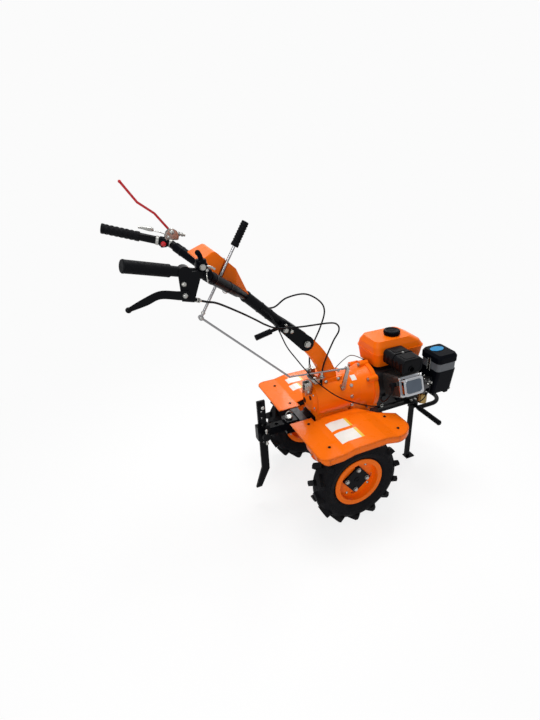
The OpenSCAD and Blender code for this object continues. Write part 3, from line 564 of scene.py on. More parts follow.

# Cables: radius, route, and a start and an end place along each route

CABLES = {
    "clutch_cable": (3.5, [
        on_handle(290, 25, 0), on_handle(240, 29, 0), (-220, 40, 940), (-160, 46, 968), (-76, 46, 972), (-8, 46, 930),
        (14, 46, 880), (-8, 46, 810), (-38, 46, 750), (-60, 46, 690), (-62, 46, 620), (-60, 46, 578.6),
    ], (-270, 30, 950), (-60, 46, 640)),
    "reverse_cable": (3.5, [
        NUT_AT + 0.6 * NUT_DIR, NUT_AT + 34 * NUT_DIR, (-508, -228, 1082), (-420, -160, 1016), (-350, -108, 960),
        (-300, -78, 920), (-250, -66, 894), (-151, -60, 878), (-16, -52, 867), (26, -48, 850), (34, -46, 820),
        (10, -44, 780), (-20, -44, 720), (-44, -46, 660), (-50, -46, 578.6),
    ], (-350, -108, 960), (-40, -46, 660)),
    "throttle_cable": (2.5, [
        on_handle(250, -24, 0), on_handle(215, -37, 0), (-250, -76, 890), (-225, -92, 820), (-190, -100, 762),
        (-150, -106, 702), (-100, -112, 636), (-10, -122, 550), (90, -130, 490), (170, -142, 460), (250, -190, 474),
        (300, -240, 492), (350, -250, 496), (392, -240, 524), (400, CARB_Y - 44, 550), (CARB_X, CARB_Y - 24.4, 556),
    ], (-250, -76, 890), (-10, -122, 550)),
}
for name, (radius, route, start, end) in CABLES.items():
    cord(name + "_sheath", route, radius, 14, SHEATH, name)

# Grips


def knobbed(r, h, a):
    """Rows of finger knobs that zigzag round the grip."""
    if h < 8 or h > 122:
        return r
    zigzag = abs(((4 * a / (2 * pi)) % 1.0) * 2 - 1)
    wave = 0.5 + 0.5 * cos(2 * pi * (h / 17.0 + 0.5 * zigzag))
    return r - 2.3 * (1 - wave ** 0.7) * min(1.0, (h - 8) / 3, (122 - h) / 3)


def ribbed(r, h, a):
    """Fine rings along the grip."""
    if h < 6 or h > 124:
        return r
    ring = abs(((h / 3.6) % 1.0) * 2 - 1)
    return r - 0.75 * min(1.0, ring * 1.6)


def grip(name, start, way, shape, node):
    profile = [(15.4, 0.0), (17.6, 0.0), (18.6, 1.2)] + [(18.6, 2.0 + 0.9 * k) for k in range(138)]
    profile += [(18.9, 127.0), (18.9, 129.5), (17.8, 131.2), (14.0, 131.8), (6.0, 131.6), (0.05, 131.4)]
    obj = piece(name, Draft().lathe(start, way, profile, 48, shape), "handlebar", RUBBER, sharp=50)
    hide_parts(node)


grip("left_grip_knobs", GRIP_START, GRIP_DIR, knobbed, "grip_left")
grip("right_grip_ribs", flip(GRIP_START), flip(GRIP_DIR), ribbed, "grip_right")

# Handlebar

d = Draft()
d.bolt((PIVOT.x, -43.3, PIVOT.z), RIGHT, 14, washer=False)
d.bolt((PIVOT.x, 46.3, PIVOT.z), LEFT, 14, washer=False)
for s in (-1, 1):
    d.screw(on_handle(92, s * 36.3, 2), (0, s, 0), 8)
    d.screw(on_handle(132, s * 36.3, 8), (0, s, 0), 6)
piece("fork_bolts", d, "handlebar", ZINC)

lever_foot = MERGE + Vector((-191, -72, -27))
lever_top = MERGE + Vector((-2, -72, 279))
way = (lever_top - lever_foot).normalized()
profile = [(5.2, -4), (12.2, -4), (13.4, -2), (13.4, 8), (12.4, 10)]
for k in range(7):
    h = 12 + k * 9.4
    r = 13.3 - 0.06 * k
    profile += [(r - 1.4, h), (r - 1.4, h + 2.2), (r, h + 3.0), (r, h + 7.6), (r - 1.4, h + 8.6)]
profile += [(12.2, 79.5), (12.2, 83), (11.0, 85.2), (6.0, 86.2), (0.05, 86.4)]
piece("gear_knob", Draft().lathe(lever_top - 84 * way, way, profile, 32), "handlebar", RUBBER, sharp=40)
d = Draft()
for s in (-1, 1):
    d.screw(lever_foot + Vector((0, s * 7, 0)), (0, s, 0), 6)
d.lathe(lever_foot + 16 * way, way, [(0.1, 0), (7.5, 0), (7.5, 5), (6.5, 6), (0.1, 6)], 20)
piece("gear_lever_pins", d, "handlebar", ZINC)

tie_a = on_handle(160, -46.3, -22)
tie_b = tie_a + Vector((-92, 0, -22))
way = (tie_b - tie_a).normalized()
reach = (tie_b - tie_a).length
profile = [(6.2, 0.3 * reach), (11.0, 0.3 * reach), (11.6, 0.3 * reach + 1)]
h = 0.3 * reach + 4
while h < reach - 6:
    profile += [(11.6, h), (10.4, h + 1.2), (10.4, h + 2.6), (11.6, h + 3.8)]
    h += 6.0
profile += [(11.6, reach - 1), (10.6, reach + 1), (5.0, reach + 1.6), (0.05, reach + 1.7)]
piece("clamp_grip", Draft().lathe(tie_a, way, profile, 28), "handlebar", RUBBER, sharp=40)
piece("clamp_nut", Draft().bolt(on_handle(128, -52.3, -8), RIGHT, 10), "handlebar", ZINC)

d = Draft()
for u in (252, 205):
    d.lathe(on_handle(u - 2.5, 0, 0), ALONG, [(20.6, 0), (22.6, 0.3), (22.6, 4.7), (20.6, 5)], 36)
    buckle = on_handle(u, -26, -2)
    d.brick(buckle - Vector((4, 3, 4)), buckle + Vector((4, 3, 4)))
for knee in KNEES:
    arm = (knee - MERGE).normalized()
    for t in (0.5, 0.84):
        d.lathe(MERGE + (knee - MERGE) * t, arm, [(17.0, -2.5), (19.8, -2.2), (19.8, 2.2), (17.0, 2.5)], 30)
piece("cable_ties", d, "handlebar", SHEATH)

d = Draft()
for knee in KNEES:
    arm = (knee - MERGE).normalized()
    reach = (knee - MERGE).length
    profile = [(14.9, 0.24 * reach), (17.6, 0.24 * reach), (18.4, 0.24 * reach + 2)]
    profile += [(18.4, t * reach) for t in (0.4, 0.55, 0.7, 0.85)]
    profile += [(18.4, 0.93 * reach - 2), (17.6, 0.93 * reach), (14.9, 0.93 * reach)]
    d.lathe(MERGE, arm, profile, 32)
piece("arm_sleeves", d, "handlebar", PLASTIC, sharp=40)

d = Draft()
d.screw(on_handle(STEM + 24, 0, 19.6), ABOVE - 0.35 * ALONG, 5)
for s in (-1, 1):
    d.screw(on_handle(STEM + 168, s * 40, 57), ABOVE, 5)
piece("console_screws", d, "handlebar", ZINC)

hook = [on_handle(STEM + 96, -42, -14)]
for a in map(radians, range(90, -270, -24)):
    hook.append(on_handle(STEM + 96, -42, -24) + Vector((11 * cos(a), 0, 11 * sin(a) - 2)))
piece("wire_hook", Draft().tube(hook, 1.6, 8), "handlebar", ZINC)

# Clutch lever and its bracket

X0, Z0 = BEND.x, BEND.z
d = Draft()
for t in (-2, 46):
    d.lathe(BEND + GRIP_DIR * t, GRIP_DIR, [(14.8, -5), (17.4, -5), (17.4, 5), (14.8, 5)], 32)
saddle = [(-18, 12), (30, 10), (36, 22), (31, 44), (18, 53), (4, 53), (-9, 43), (-16, 28)]
for y in (-8, 8):
    d.slab(saddle, (X0, 250 + y + 3, Z0), FORE, UP, 3, 0.8)
d.brick((X0 - 14, 242, Z0 + 12), (X0 + 34, 261, Z0 + 17), 1.6)
d.bolt((X0 + 11, 275, Z0 + 41), LEFT, 8)
d.screw((X0 + 11, 242, Z0 + 41), RIGHT, 8)
d.screw((X0 - 4, 242, Z0 + 24), RIGHT, 5)
latch = [(X0 - 6, Z0 + 32), (X0 - 30, Z0 + 44), (X0 - 56, Z0 + 52)]
for a, b in zip(latch, latch[1:]):
    run = Vector((b[0] - a[0], 0, b[1] - a[1]))
    strip = [(0, -4), (run.length + 1, -4), (run.length + 1, 4), (0, 4)]
    d.slab(strip, (a[0], 253, a[1]), run.normalized(), LEFT, 3, 0.7)
thumb = smooth_path([(X0 - 52, 253, Z0 + 53), (X0 - 64, 253, Z0 + 57), (X0 - 82, 253, Z0 + 62),
                     (X0 - 104, 253, Z0 + 66)], 5)
last = len(thumb) - 1
d.tube(thumb, [4.0 + 4.4 * sin(pi * min(1.0, 0.12 + k / last)) for k in range(last + 1)], 16)
d.coil((X0 + 11, 243, Z0 + 41), (X0 + 11, 260, Z0 + 41), 9.5, 1.3, 5)
d.tube([(X0 + 30, 251, Z0 + 33), (X0 + 60, 251, Z0 + 24)], 6.0, 16)
d.lathe((X0 + 35, 251, Z0 + 31.5), (0.96, 0, -0.29), [(0.1, 0), (9, 0), (9, 6), (0.1, 6)], 6)
d.lathe((X0 + 47, 251, Z0 + 28), (0.96, 0, -0.29), [(0.1, 0), (8.4, 0), (8.4, 5), (0.1, 5)], 6)
bracket = piece("clutch_lever_bracket", d, "handlebar", ZINC)
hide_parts("clutch_bracket")

# Stop switch

d = Draft()
d.lathe((X0 - 27, 233, Z0 + 2), (-0.3, -0.92, 0.25),
        [(0.1, 0), (9.5, 0), (9.5, 6), (8.4, 9), (5, 10.6), (0.1, 11)], 26)
d.mark = 1
d.brick((X0 - 39, 231, Z0 - 11), (X0 - 15, 246, Z0 + 15), 4)
d.lathe(BEND + GRIP_DIR * 27, GRIP_DIR,
        [(14.9, -11), (17.4, -11), (18.4, -10), (18.4, 10), (17.4, 11), (14.9, 11)], 32)
switch = piece("stop_switch_body", d, "handlebar", RED, PLASTIC)
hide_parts("stop_switch")

# Reverse lever, its rivets and adjuster

PX, PY, PZ = LEVER_AT.x, -LEVER_AT.y, LEVER_AT.z
top_edge = smooth_path([(10, 0, -50), (-20, 0, -49), (-70, 0, -41), (-117, 0, -56), (-163, 0, -77)], 7)
low_edge = smooth_path([(-158, 0, -86), (-110, 0, -75), (-72, 0, -63), (-20, 0, -74), (4, 0, -77)], 7)
outline = [(p.x, p.z) for p in top_edge + low_edge]
d = Draft()
d.slab(outline, (PX, PY - 20.3, PZ), FORE, UP, 5.6, 1.2)
d.tube([(PX + p.x, PY - 22.4, PZ + p.z - 1.2) for p in top_edge[4:]], 2.6, 10)
d.lathe((PX - 4, PY - 26.2, PZ - 63), LEFT, [(0.1, 0), (12, 0), (13, 1), (13, 5.6), (0.1, 5.6)], 28)
d.ball((PX - 161, PY - 23, PZ - 81), 8.4, 20)
blade = piece("reverse_lever_blade", d, "handlebar", BLACK, sharp=40)
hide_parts("reverse_lever")
d = Draft()
d.screw((PX - 2, PY - 20, PZ - 31), RIGHT, 7)
d.screw((PX - 4, PY - 26.2, PZ - 63), RIGHT, 7)
for h in (-13, -4):
    d.lathe(NUT_AT, NUT_DIR, [(0.1, h), (7.6, h), (8.2, h + 1), (8.2, h + 4.4), (7.6, h + 5.2), (0.1, h + 5.2)], 6)
d.lathe(NUT_AT, NUT_DIR, [(0.1, -1), (4.4, -1), (4.4, 7), (3.9, 8.5), (0.1, 8.5)], 16)
d.bolt((PX + 6, PY - 4, PZ - 18.6), DOWN, 6)
piece("reverse_lever_rivets", d, "handlebar", ZINC)

# Throttle

d = Draft()
way = flip(GRIP_DIR)
d.lathe(KNEES[0] - way * 8, way, [(14.9, -9), (18.2, -9), (19, -8), (19, 8), (18.2, 9), (14.9, 9)], 32)
d.brick((X0 - 23, -264, Z0 + 10), (X0 + 12, -234, Z0 + 34), 4)
d.lathe((X0 - 5, -250, Z0 + 28), UP, [(0.1, 0), (15, 0), (16, 2), (16, 14), (14, 17), (0.1, 17.6)], 32)
paddle = [(-16, -6), (10, -7), (20, -6), (24, 0), (20, 6), (10, 7), (-16, 6)]
d.slab(paddle, (X0 - 4, -255, Z0 + 46), (-0.28, 0, 0.96), (1, 0, 0.28), 10, 2.5)
d.ball((X0 - 11, -250, Z0 + 64), 8.5, 18)
body = piece("throttle_lever", d, "handlebar", PLASTIC, sharp=40)
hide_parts("throttle_control")
d = Draft()
d.bolt((X0 - 5, -264.5, Z0 + 24), RIGHT, 9)
d.screw((X0 + 6, -264.5, Z0 + 14), RIGHT, 5)
d.tube([(X0 + 8, -262, Z0 + 26), (X0 + 20, -266, Z0 + 22), (X0 + 30, -262, Z0 + 14)], 3.4, 12)
d.tube(loop((X0 + 4, -268, Z0 - 6), (0, 0, 15), (3, 8.5, 0), 24), 1.5, 8)
piece("throttle_screws", d, "handlebar", ZINC)

# Gear case

d = Draft()
for a in map(radians, (40, 90, 140, 220, 320)):
    d.bolt((169, 110 * cos(a), CRANK_Z + 110 * sin(a)), AFT, 8, turn=a)
for s in (-1, 1):
    d.bolt((89, s * 69.6, 554), (0, s * 0.79, 0.61), 8)
    d.bolt((83, s * 87.6, 508), (0, s, 0.09), 8)
    d.bolt((89, s * 78.4, 460), (0, s * 0.89, -0.45), 8)
    for x in (-23, 40):
        d.screw((x, s * 38, 586), (0, s, 0), 8)
    for a in map(radians, range(-165, 0, 30)):
        d.bolt((88.6 * cos(a), s * 4.8, AXLE_Z + 88.6 * sin(a)), (0, s, 0), 5, washer=False)
d.bolt((0, 0, 114.2), DOWN, 12)
d.bolt((74, 34, 581), (0, 0.39, 0.92), 14, turn=0.5)
for a in map(radians, (20, 80, 140, 200, 260, 320)):
    d.screw((-91, 61 * cos(a), CRANK_Z + 61 * sin(a)), AFT, 6, washer=False)
piece("case_bolts", d, "chassis", ZINC)

d = Draft()
for s in (-1, 1):
    for x in (-52, 0, 52):
        d.slab([(-4, 250), (4, 250), (3, 430), (-3, 430)], (x, s * 57.2, 0), FORE, UP, -6 * s)
piece("case_ribs", d, "chassis", ORANGE)

d = Draft()
d.brick((-80, -40, 588.6), (-38, 40, 592), 0.8)
for s in (-1, 1):
    d.brick((-80, s * 40 - 1.6, 588), (-38, s * 40 + 1.6, 622), 0.8)
    d.brick((-80, s * 38.6, 619), (-38, s * 60, 622), 0.8)
for x, y in ((-61.5, 46), (-47, -46)):
    for h in (612.5, 622):
        d.lathe((x, y, h), UP, [(3.6, 0), (9.2, 0), (9.8, 1), (9.8, 5), (9.2, 6), (3.6, 6)], 6)
    d.lathe((x, y, 628), UP, [(3.6, 0), (5.6, 0), (5.6, 16), (4.8, 18), (3.6, 18)], 18)
d.bolt((-60, 0, 592), UP, 8)
d.brick((-128, -44, 545), (-96, -40, 604), 1.4)
d.brick((-128, -16, 545), (-96, -12, 604), 1.4)
d.brick((-101, -44, 545), (-97, -12, 604), 1.4)
d.tube([(-118, -50, 590), (-118, -6, 590)], 4.6, 16)
d.bolt((-118, -44, 590), RIGHT, 6)
d.screw((-112, -44, 560), RIGHT, 6)
d.coil((-112, -40, 560), (-112, -16, 560), 7, 1.3, 6)
piece("cable_stop_bracket", d, "chassis", ZINC)

d = Draft()
for y, z, r in ((30, 478, 13), (-30, 520, 11)):
    d.lathe((-97.4, y, z), AFT, [(0.05, 0), (r, 0), (r, 1.6), (r - 2, 2.4), (0.05, 2.0)], 28)
for s in (-1, 1):
    d.lathe((0, s * 107, AXLE_Z), (0, s, 0),
            [(22, 0), (40, 0), (40, 2.4), (36, 3.6), (31, 3.6), (29, 2.2), (22, 2.2)], 40)
for p, way in (((32, -6, 613.5), (0.78, 0.08, 0.62)), ((245, 63, 590), (-1, 0, 0.3))):
    d.lathe(p, way, [(0.05, -2), (4.6, -2), (4.6, 1.4), (3.2, 2), (2.8, 7), (0.05, 7.4)], 18)
piece("case_seals", d, "chassis", RUBBER)

rows = []
for k in range(9):
    a = radians(20 + 2.4 * k)
    rows.append([Vector((x, -88.5 * sin(a), CRANK_Z + 88.5 * cos(a))) for x in (101, 112, 127)])
piece("bell_label", Draft().rings(rows, closed=False, caps=False), "chassis", WHITE, slot="grey_plastic")

# Fenders

CREASE = -60.0
FENDER_LINE = [(-200, FENDER_LOW), (-115, FENDER_LOW), (CREASE, FENDER_TOP), (95, FENDER_TOP), (150, FENDER_LOW),
               (240, FENDER_LOW)]


def fender_top(x):
    """Height of the fender's top along its length."""
    for (xa, za), (xb, zb) in zip(FENDER_LINE, FENDER_LINE[1:]):
        if xa <= x <= xb:
            return za + (zb - za) * (x - xa) / (xb - xa)
    return FENDER_LOW


def fender_label(name, x0, x1, y0, y1, stripe):
    """Blank plate that follows the fender, with a yellow end."""
    d = Draft()
    stations = sorted({x0, x1, x1 - stripe, max(x0, min(x1, CREASE))})
    low_y, high_y = sorted((y0, y1))
    for a, b in zip(stations, stations[1:]):
        d.mark = 1 if a >= x1 - stripe - 0.01 else 0
        ring = []
        for x in (a, b):
            z = fender_top(x)
            ring.append([(x, low_y, z - 0.2), (x, low_y, z + 0.6), (x, high_y, z + 0.6), (x, high_y, z - 0.2)])
        d.rings(ring)
    piece(name, d, "chassis", WHITE, YELLOW, slot="grey_plastic")


fender_label("label_inner", -86.0, 15.0, -147, -210, 12.0)
fender_label("label_outer", -88.0, 19.0, -229, -303, 14.0)
fender_label("label_far_a", -77.0, 5.0, 263, 310, 10.0)
fender_label("label_far_b", -85.0, -33.0, 190, 244, 8.0)

d = Draft()
for s in (-1, 1):
    for x, y in ((BOLT_BACK, 100), (BOLT_BACK, 290), (BOLT_FRONT, 205), (BOLT_FRONT, 308)):
        d.screw((x, s * y, FENDER_LOW), UP, 6)
        d.bolt((x, s * y, FENDER_LOW - 9), DOWN, 6)
piece("fender_bolts", d, "chassis", BLACK)

d = Draft()
for s in (-1, 1):
    for cx, cy, r, a0, a1 in ((158, 272, 90, 90, 0), (-174, 322, 40, 90, 180)):
        rows = []
        for k in range(17):
            a = radians(a0 + (a1 - a0) * k / 16)
            drop = 4 + 26 * max(0.0, sin(a)) ** 1.4
            out = (cx + r * cos(a), s * (cy + r * sin(a)))
            inner = (cx + (r - 3) * cos(a), s * (cy + (r - 3) * sin(a)))
            top, foot = FENDER_LOW - 0.2, FENDER_LOW - drop
            rows.append([(*out, top), (*out, foot), (*inner, foot), (*inner, top)])
        d.rings(rows)
piece("fender_corners", d, "chassis", PRESSED, sharp=50)

# Hitch and coulter

d = Draft()
for y in (-42, 42):
    for z in (344, 406):
        d.bolt((-96, y, z), AFT, 10)
d.lathe((HITCH_X, 0, 428), UP, [(0.05, 0), (15, 0), (16, 1.5), (16, 5), (14, 7), (0.05, 7.4)], 28)
d.tube(loop((HITCH_X, 0, 446), (14, 0, 0), (0, 0, 15), 20), 2.2, 8)
clip = [(-22, 354), (18, 354), (26, 350), (18, 345), (4, 347.5), (-8, 343), (-20, 346)]
d.tube(smooth_path([(HITCH_X, y, z) for y, z in clip], 5), 1.6, 8)
d.tube([(COULTER_X, -50, 360), (COULTER_X, -50, 428)], 4.6, 14)
for z in (360, 428):
    d.ball((COULTER_X, -50, z), 6.6, 14)
piece("hitch_pins", d, "chassis", ZINC)

d = Draft()
d.tube([(COULTER_X, -24, 529), (COULTER_X, 20, 529)], 5.0, 16)
d.lathe((COULTER_X, -24, 529), RIGHT, [(0.05, 0), (8, 0), (8, 4), (6, 6), (0.05, 6.4)], 20)
d.tube(loop((COULTER_X, 15, 523), (11, 0, 0), (0, 0, 13), 20), 1.5, 8)
piece("coulter_pin", d, "coulter", ZINC)

# Engine frame

d = Draft()
for x in (239, 359):
    for y in (-60, 60):
        d.bolt((x, y, 364), DOWN, 8)
for s in (-1, 1):
    for x in (BAR_X - 12, BAR_X + 12):
        d.bolt((x, s * 92, BAR_Z + 19.5), UP, 7)
    d.lathe((470, -45 + s * 19, 338), (0, s, 0),
            [(0.05, 0), (11, 0), (11, 1.8), (7, 2.2), (6.4, 4.5), (0.05, 4.8)], 22)
piece("frame_bolts", d, "chassis", ZINC)
d = Draft()
for s in (-1, 1):
    d.brick((BAR_X - 20, s * 75, BAR_Z - 19), (BAR_X + 20, s * 109, BAR_Z + 20), 3)
piece("bar_clamps", d, "chassis", BLACK)
profile = [(8.4, 0), (12.2, 0), (12.8, 1.2), (12.8, 4)]
for h in range(6, 138, 9):
    profile += [(12.4, h), (10.8, h + 1.6), (10.8, h + 4.4), (12.4, h + 6)]
profile += [(12.8, 141), (12.8, 144), (11.6, 145.6), (5, 146.4), (0.05, 146.6)]
d = Draft()
for s in (-1, 1):
    d.slab(rounded(22, 24, 3), (489.2, s * 60, 379), LEFT, UP, 2.6, 0.8)
    d.lathe((BAR_X, s * 147, BAR_Z), (0, s, 0), profile, 26)
piece("bar_sleeves", d, "chassis", RUBBER, sharp=40)

# Engine

CYLINDER_X = 305.0
TILT = radians(18)
OUT = Vector((0, -cos(TILT), sin(TILT)))
RISE_V = Vector((0, sin(TILT), cos(TILT)))


def on_cylinder(x, v, w):
    """A point of the tilted cylinder: along X, up its face, out along its axis."""
    return Vector((CYLINDER_X + x, 0, CRANK_Z)) + v * RISE_V + w * OUT


d = Draft()
outer = rounded(88, 64, 14)
d.tube([on_cylinder(x, v, 256.2) for x, v in outer + outer[:1]], 2.0, 8)
# The inner panel carries the painted dark reflection; the rim around it is plain chrome.
d.mark = 1
d.slab(rounded(82, 58, 12), on_cylinder(0, 0, 255.4), FORE, RISE_V, 1.4, 0.5)
piece("cover_emboss", d, "chassis", CHROME, CHROME_PAINTED_REFLECTION)
d = Draft()
for x, v, w in ((52.5, 41, 230), (40, 38, 224)):
    for a, b in ((-x, -v), (-x, v), (x, -v), (x, v)):
        d.bolt(on_cylinder(a, b, w), OUT, 5, washer=False)
d.bolt((250, -88, 413), RIGHT, 9)
d.bolt((CARB_X, CARB_Y, 450), DOWN, 8)
d.screw((CARB_X - 10, CARB_Y - 14, 578), UP, 4, washer=False)
d.screw((CARB_X + 10, CARB_Y + 14, 578), UP, 4, washer=False)
idle = Vector((CARB_X + 9, CARB_Y - 24, 566))
d.coil(idle, idle + 14 * RIGHT, 4, 0.9, 5)
d.lathe(idle, RIGHT, [(0.05, 0), (2.4, 0), (2.4, 14), (5, 14), (5, 18), (0.05, 18.4)], 16)
d.lathe((CARB_X, CARB_Y - 24.2, 556), (0.05, -0.95, -0.3),
        [(2.6, 0), (5.4, 0), (5.4, 6), (4.2, 7), (4.2, 16), (2.6, 16.4)], 18)
d.tube(smooth_path([(332, -66, 586), (340, -96, 604), (372, -150, 602), (393, -186, 580)], 6), 1.6, 8)
d.coil((336, -70, 594), (388, -174, 592), 3.4, 0.7, 30)
d.brick((326, -74, 580), (338, -60, 592), 2)
for a in map(radians, range(12, 372, 60)):
    d.screw((437, 90 * cos(a), CRANK_Z + 90 * sin(a)), FORE, 4, washer=False)
d.bolt((250, 97.8, 413), LEFT, 9)
for x in (240, 340):
    for z in (438, 489, 540):
        d.bolt((x, 101, z), LEFT, 5, washer=False)
piece("engine_screws", d, "chassis", ZINC)
d = Draft()
d.slab(rounded(124, 126, 16), (290, 98, 489), UP, FORE, 3, 1)
for k in range(5):
    d.brick((257 + 15 * k, 98, 440), (262 + 15 * k, 104, 538), 1.5)
piece("block_webs", d, "chassis", DARK_ALLOY)

PLUG = on_cylinder(-56, 12, 204)
PLUG_WAY = Vector((-1, -0.1, 0.24)).normalized()
d = Draft()
d.lathe(PLUG, PLUG_WAY, [(0.05, -2), (11, -2), (11, 1), (10.4, 1), (10.4, 9), (8, 10), (7, 18), (0.05, 18)], 6)
d.mark = 1
d.lathe(PLUG, PLUG_WAY, [(0.05, 8), (9.6, 8), (10.4, 10), (9.6, 16), (10.6, 22), (11, 32), (9, 36), (0.05, 37)], 26)
tip = PLUG + 25 * PLUG_WAY
d.lathe(tip, (-0.2, -0.35, -0.9), [(0.05, 0), (8.4, 2), (8.4, 12), (6, 18), (4.6, 26), (3.2, 27)], 22)
piece("spark_plug", d, "chassis", ZINC, RUBBER)
route = [tip, tip + Vector((-6, -11, -28)), (204, -196, 520), (204, -170, 490), (216, -128, 474), (240, -100, 469),
         (262, -88.5, 468)]
cord("plug_lead", route, 3.4, 12, SHEATH)
d = Draft()
d.lathe((262, -87.5, 468), (-0.3, -0.95, 0), [(0.05, -2), (9, -2), (9, 2), (6, 5), (4.6, 10), (3.2, 10.4)], 20)


def fluted(r, h, a):
    """Grip flutes round a cap."""
    return r - (1.4 * (0.5 + 0.5 * cos(9 * a)) if r > 11.5 else 0)


profile = [(0.05, -3), (11, -3), (11, 5), (14, 6), (14.5, 8), (14.5, 17), (13, 19), (5, 20), (0.05, 20)]
d.lathe((338, -87, 428), (0, -0.94, 0.34), profile, 54, fluted)
piece("oil_cap", d, "chassis", PLASTIC)

d = Draft()
profile = [(0.05, 0), (12, 0), (12, 4), (8, 6), (8, 16), (10, 18), (10, 26), (4.6, 28), (4.6, 34), (0.05, 34)]
d.lathe((TAP_X, TAP_Y, 599), DOWN, profile, 20)
d.lathe((CARB_X, CARB_Y + 23, 552), LEFT, [(0.05, 0), (6, 0), (6, 3), (4.2, 4), (4.2, 12), (0.05, 12)], 16)
d.mark = 1
d.brick((TAP_X + 6, TAP_Y - 6, 578), (TAP_X + 24, TAP_Y + 6, 584), 2)
piece("fuel_tap", d, "chassis", BRASS, RED)
route = [(TAP_X, TAP_Y, 567), (TAP_X, -38, 556), (TAP_X, -62, 548), (402, -100, 550), (CARB_X, -138, 552),
         (CARB_X, CARB_Y + 26, 552)]
cord("fuel_hose", route, 4.8, 14, HOSE)

d = Draft()
d.slab(rounded(116, 76, 22), (MUFFLER_X, MUFFLER_Y, MUFFLER_Z), FORE, UP, 4, 1.2)
d.slab(rounded(66, 52, 14), (MUFFLER_X, MUFFLER_Y - 38, 695.2), FORE, LEFT, 2.6, 1.1)
d.slab(rounded(66, 44, 14), (MUFFLER_X, MUFFLER_Y + 38, 695.2), FORE, LEFT, 2.6, 1.1)
for k in range(4):
    d.brick((254.4, -196 + 30 * k, 644), (257, -180 + 30 * k, 678), 1.1)
d.lathe((OUTLET_X, -211.5, OUTLET_Z), RIGHT, [(11.6, -24), (11.6, 4.5), (13.6, 5), (15, 4), (15, 0), (11.6, -24)], 30)
frame_edge = rounded(92, 54, 15)
d.tube([(MUFFLER_X + x, -212, MUFFLER_Z + z) for x, z in frame_edge + frame_edge[:1]], 1.5, 6)
d.mark = 1
d.lathe((OUTLET_X, -190, OUTLET_Z), RIGHT, [(0.05, 0), (11.8, 0), (11.8, 1), (0.05, 1.2)], 24)
d.mark = 2
d.bolt((MUFFLER_X, MUFFLER_Y, 696), UP, 6)
piece("muffler_shell", d, "chassis", BLACK, SOOT, ZINC)

d = Draft()
oval = [(35 * cos(2 * pi * k / 40), 23 * sin(2 * pi * k / 40)) for k in range(40)]
d.slab([(x * 1.12, y * 1.16) for x, y in oval], (CLEANER_X, CLEANER_Y, 690.6), FORE, LEFT, 1.2, 0.4)
d.mark = 1
d.slab(oval, (CLEANER_X, CLEANER_Y, 691.4), FORE, LEFT, 1.4, 0.5)
piece("cover_oval", d, "chassis", PLASTIC, BLUE)
d = Draft()
for x, w in ((432, -1), (540, 1)):
    d.brick((x - w, -192, 600), (x + w * 2.2, -174, 660), 0.9)
    near, far = x + w * 2.6, x + w * 4.6
    d.tube([(near, -192, 604), (far, -192, 632), (near, -192, 662), (near, -174, 662), (far, -174, 632),
            (near, -174, 604)], 1.3, 8)
piece("cleaner_clips", d, "chassis", ZINC)
d = Draft()
d.slab([(366, 574), (376, 614), (452, 614), (452, 562), (396, 560)], (0, -125, 0), FORE, UP, 3, 0.8)
d.brick((506, -222, 481), (530, -206, 496), 2)
d.mark = 1
for x, z in ((384, 590), (416, 594)):
    d.bolt((x, -128, z), RIGHT, 6)
d.screw((534, -223, 500), RIGHT, 6)
piece("cleaner_stay", d, "chassis", BLACK, ZINC)
d = Draft()
d.brick((420, CARB_Y - 23, 545), (432, CARB_Y - 15, 569), 2)
d.lathe((426, CARB_Y - 22, 557), RIGHT, [(0.05, 0), (6, 0), (6, 5), (5, 7), (0.05, 7.4)], 22)
arm = [(-5, -4), (30, -3), (34, 0), (30, 4), (-5, 5)]
d.slab(arm, (426, CARB_Y - 24, 557), (-0.35, 0, 0.94), (0.94, 0, 0.35), -4)
piece("choke_lever", d, "chassis", PLASTIC)


def cap_flutes(r, h, a):
    """Broad flutes round the fuel cap."""
    return r if r < 30 else r - 1.8 * max(0.0, cos(12 * a)) ** 2


profile = [(0.05, -0.4), (36, -0.4), (36, 5), (38.4, 6), (39.8, 8), (39.8, 18), (38.6, 20.6), (36, 22), (29, 22),
           (28, 20.4), (24, 19.6), (10, 19.6), (9, 20.6), (0.05, 20.8)]
knob = Draft().lathe((357.5, 16, 720), UP, profile, 96, cap_flutes)
cap = piece("fuel_cap_knob", knob, "chassis", PLASTIC, sharp=40)
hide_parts("fuel_cap")

d = Draft()
d.lathe((474.4, 0, CRANK_Z), FORE, [(0.05, 0), (29, 0), (30, 1.4), (28, 3.2), (20, 4.4), (19, 3.8), (0.05, 4.2)], 40)
rib = ((470, 34), (474.6, 40), (474.6, 58), (463, 77))
for a in map(radians, range(15, 360, 30)):
    d.tube([(x, r * cos(a), CRANK_Z + r * sin(a)) for x, r in rib], 2.0, 8)
piece("starter_ribs", d, "chassis", PLASTIC)

route = [(31, -6, 613), (40, -5, 621), (52, -4, 632), (76, 2, 644), (104, 10, 654), (130, 20, 656), (158, 34, 645),
         (188, 48, 627), (222, 60, 604), (236, 62, 594), (246, 63, 590)]
cord("thin_wire", route, 2.0, 10, BROWN)

# Wheels

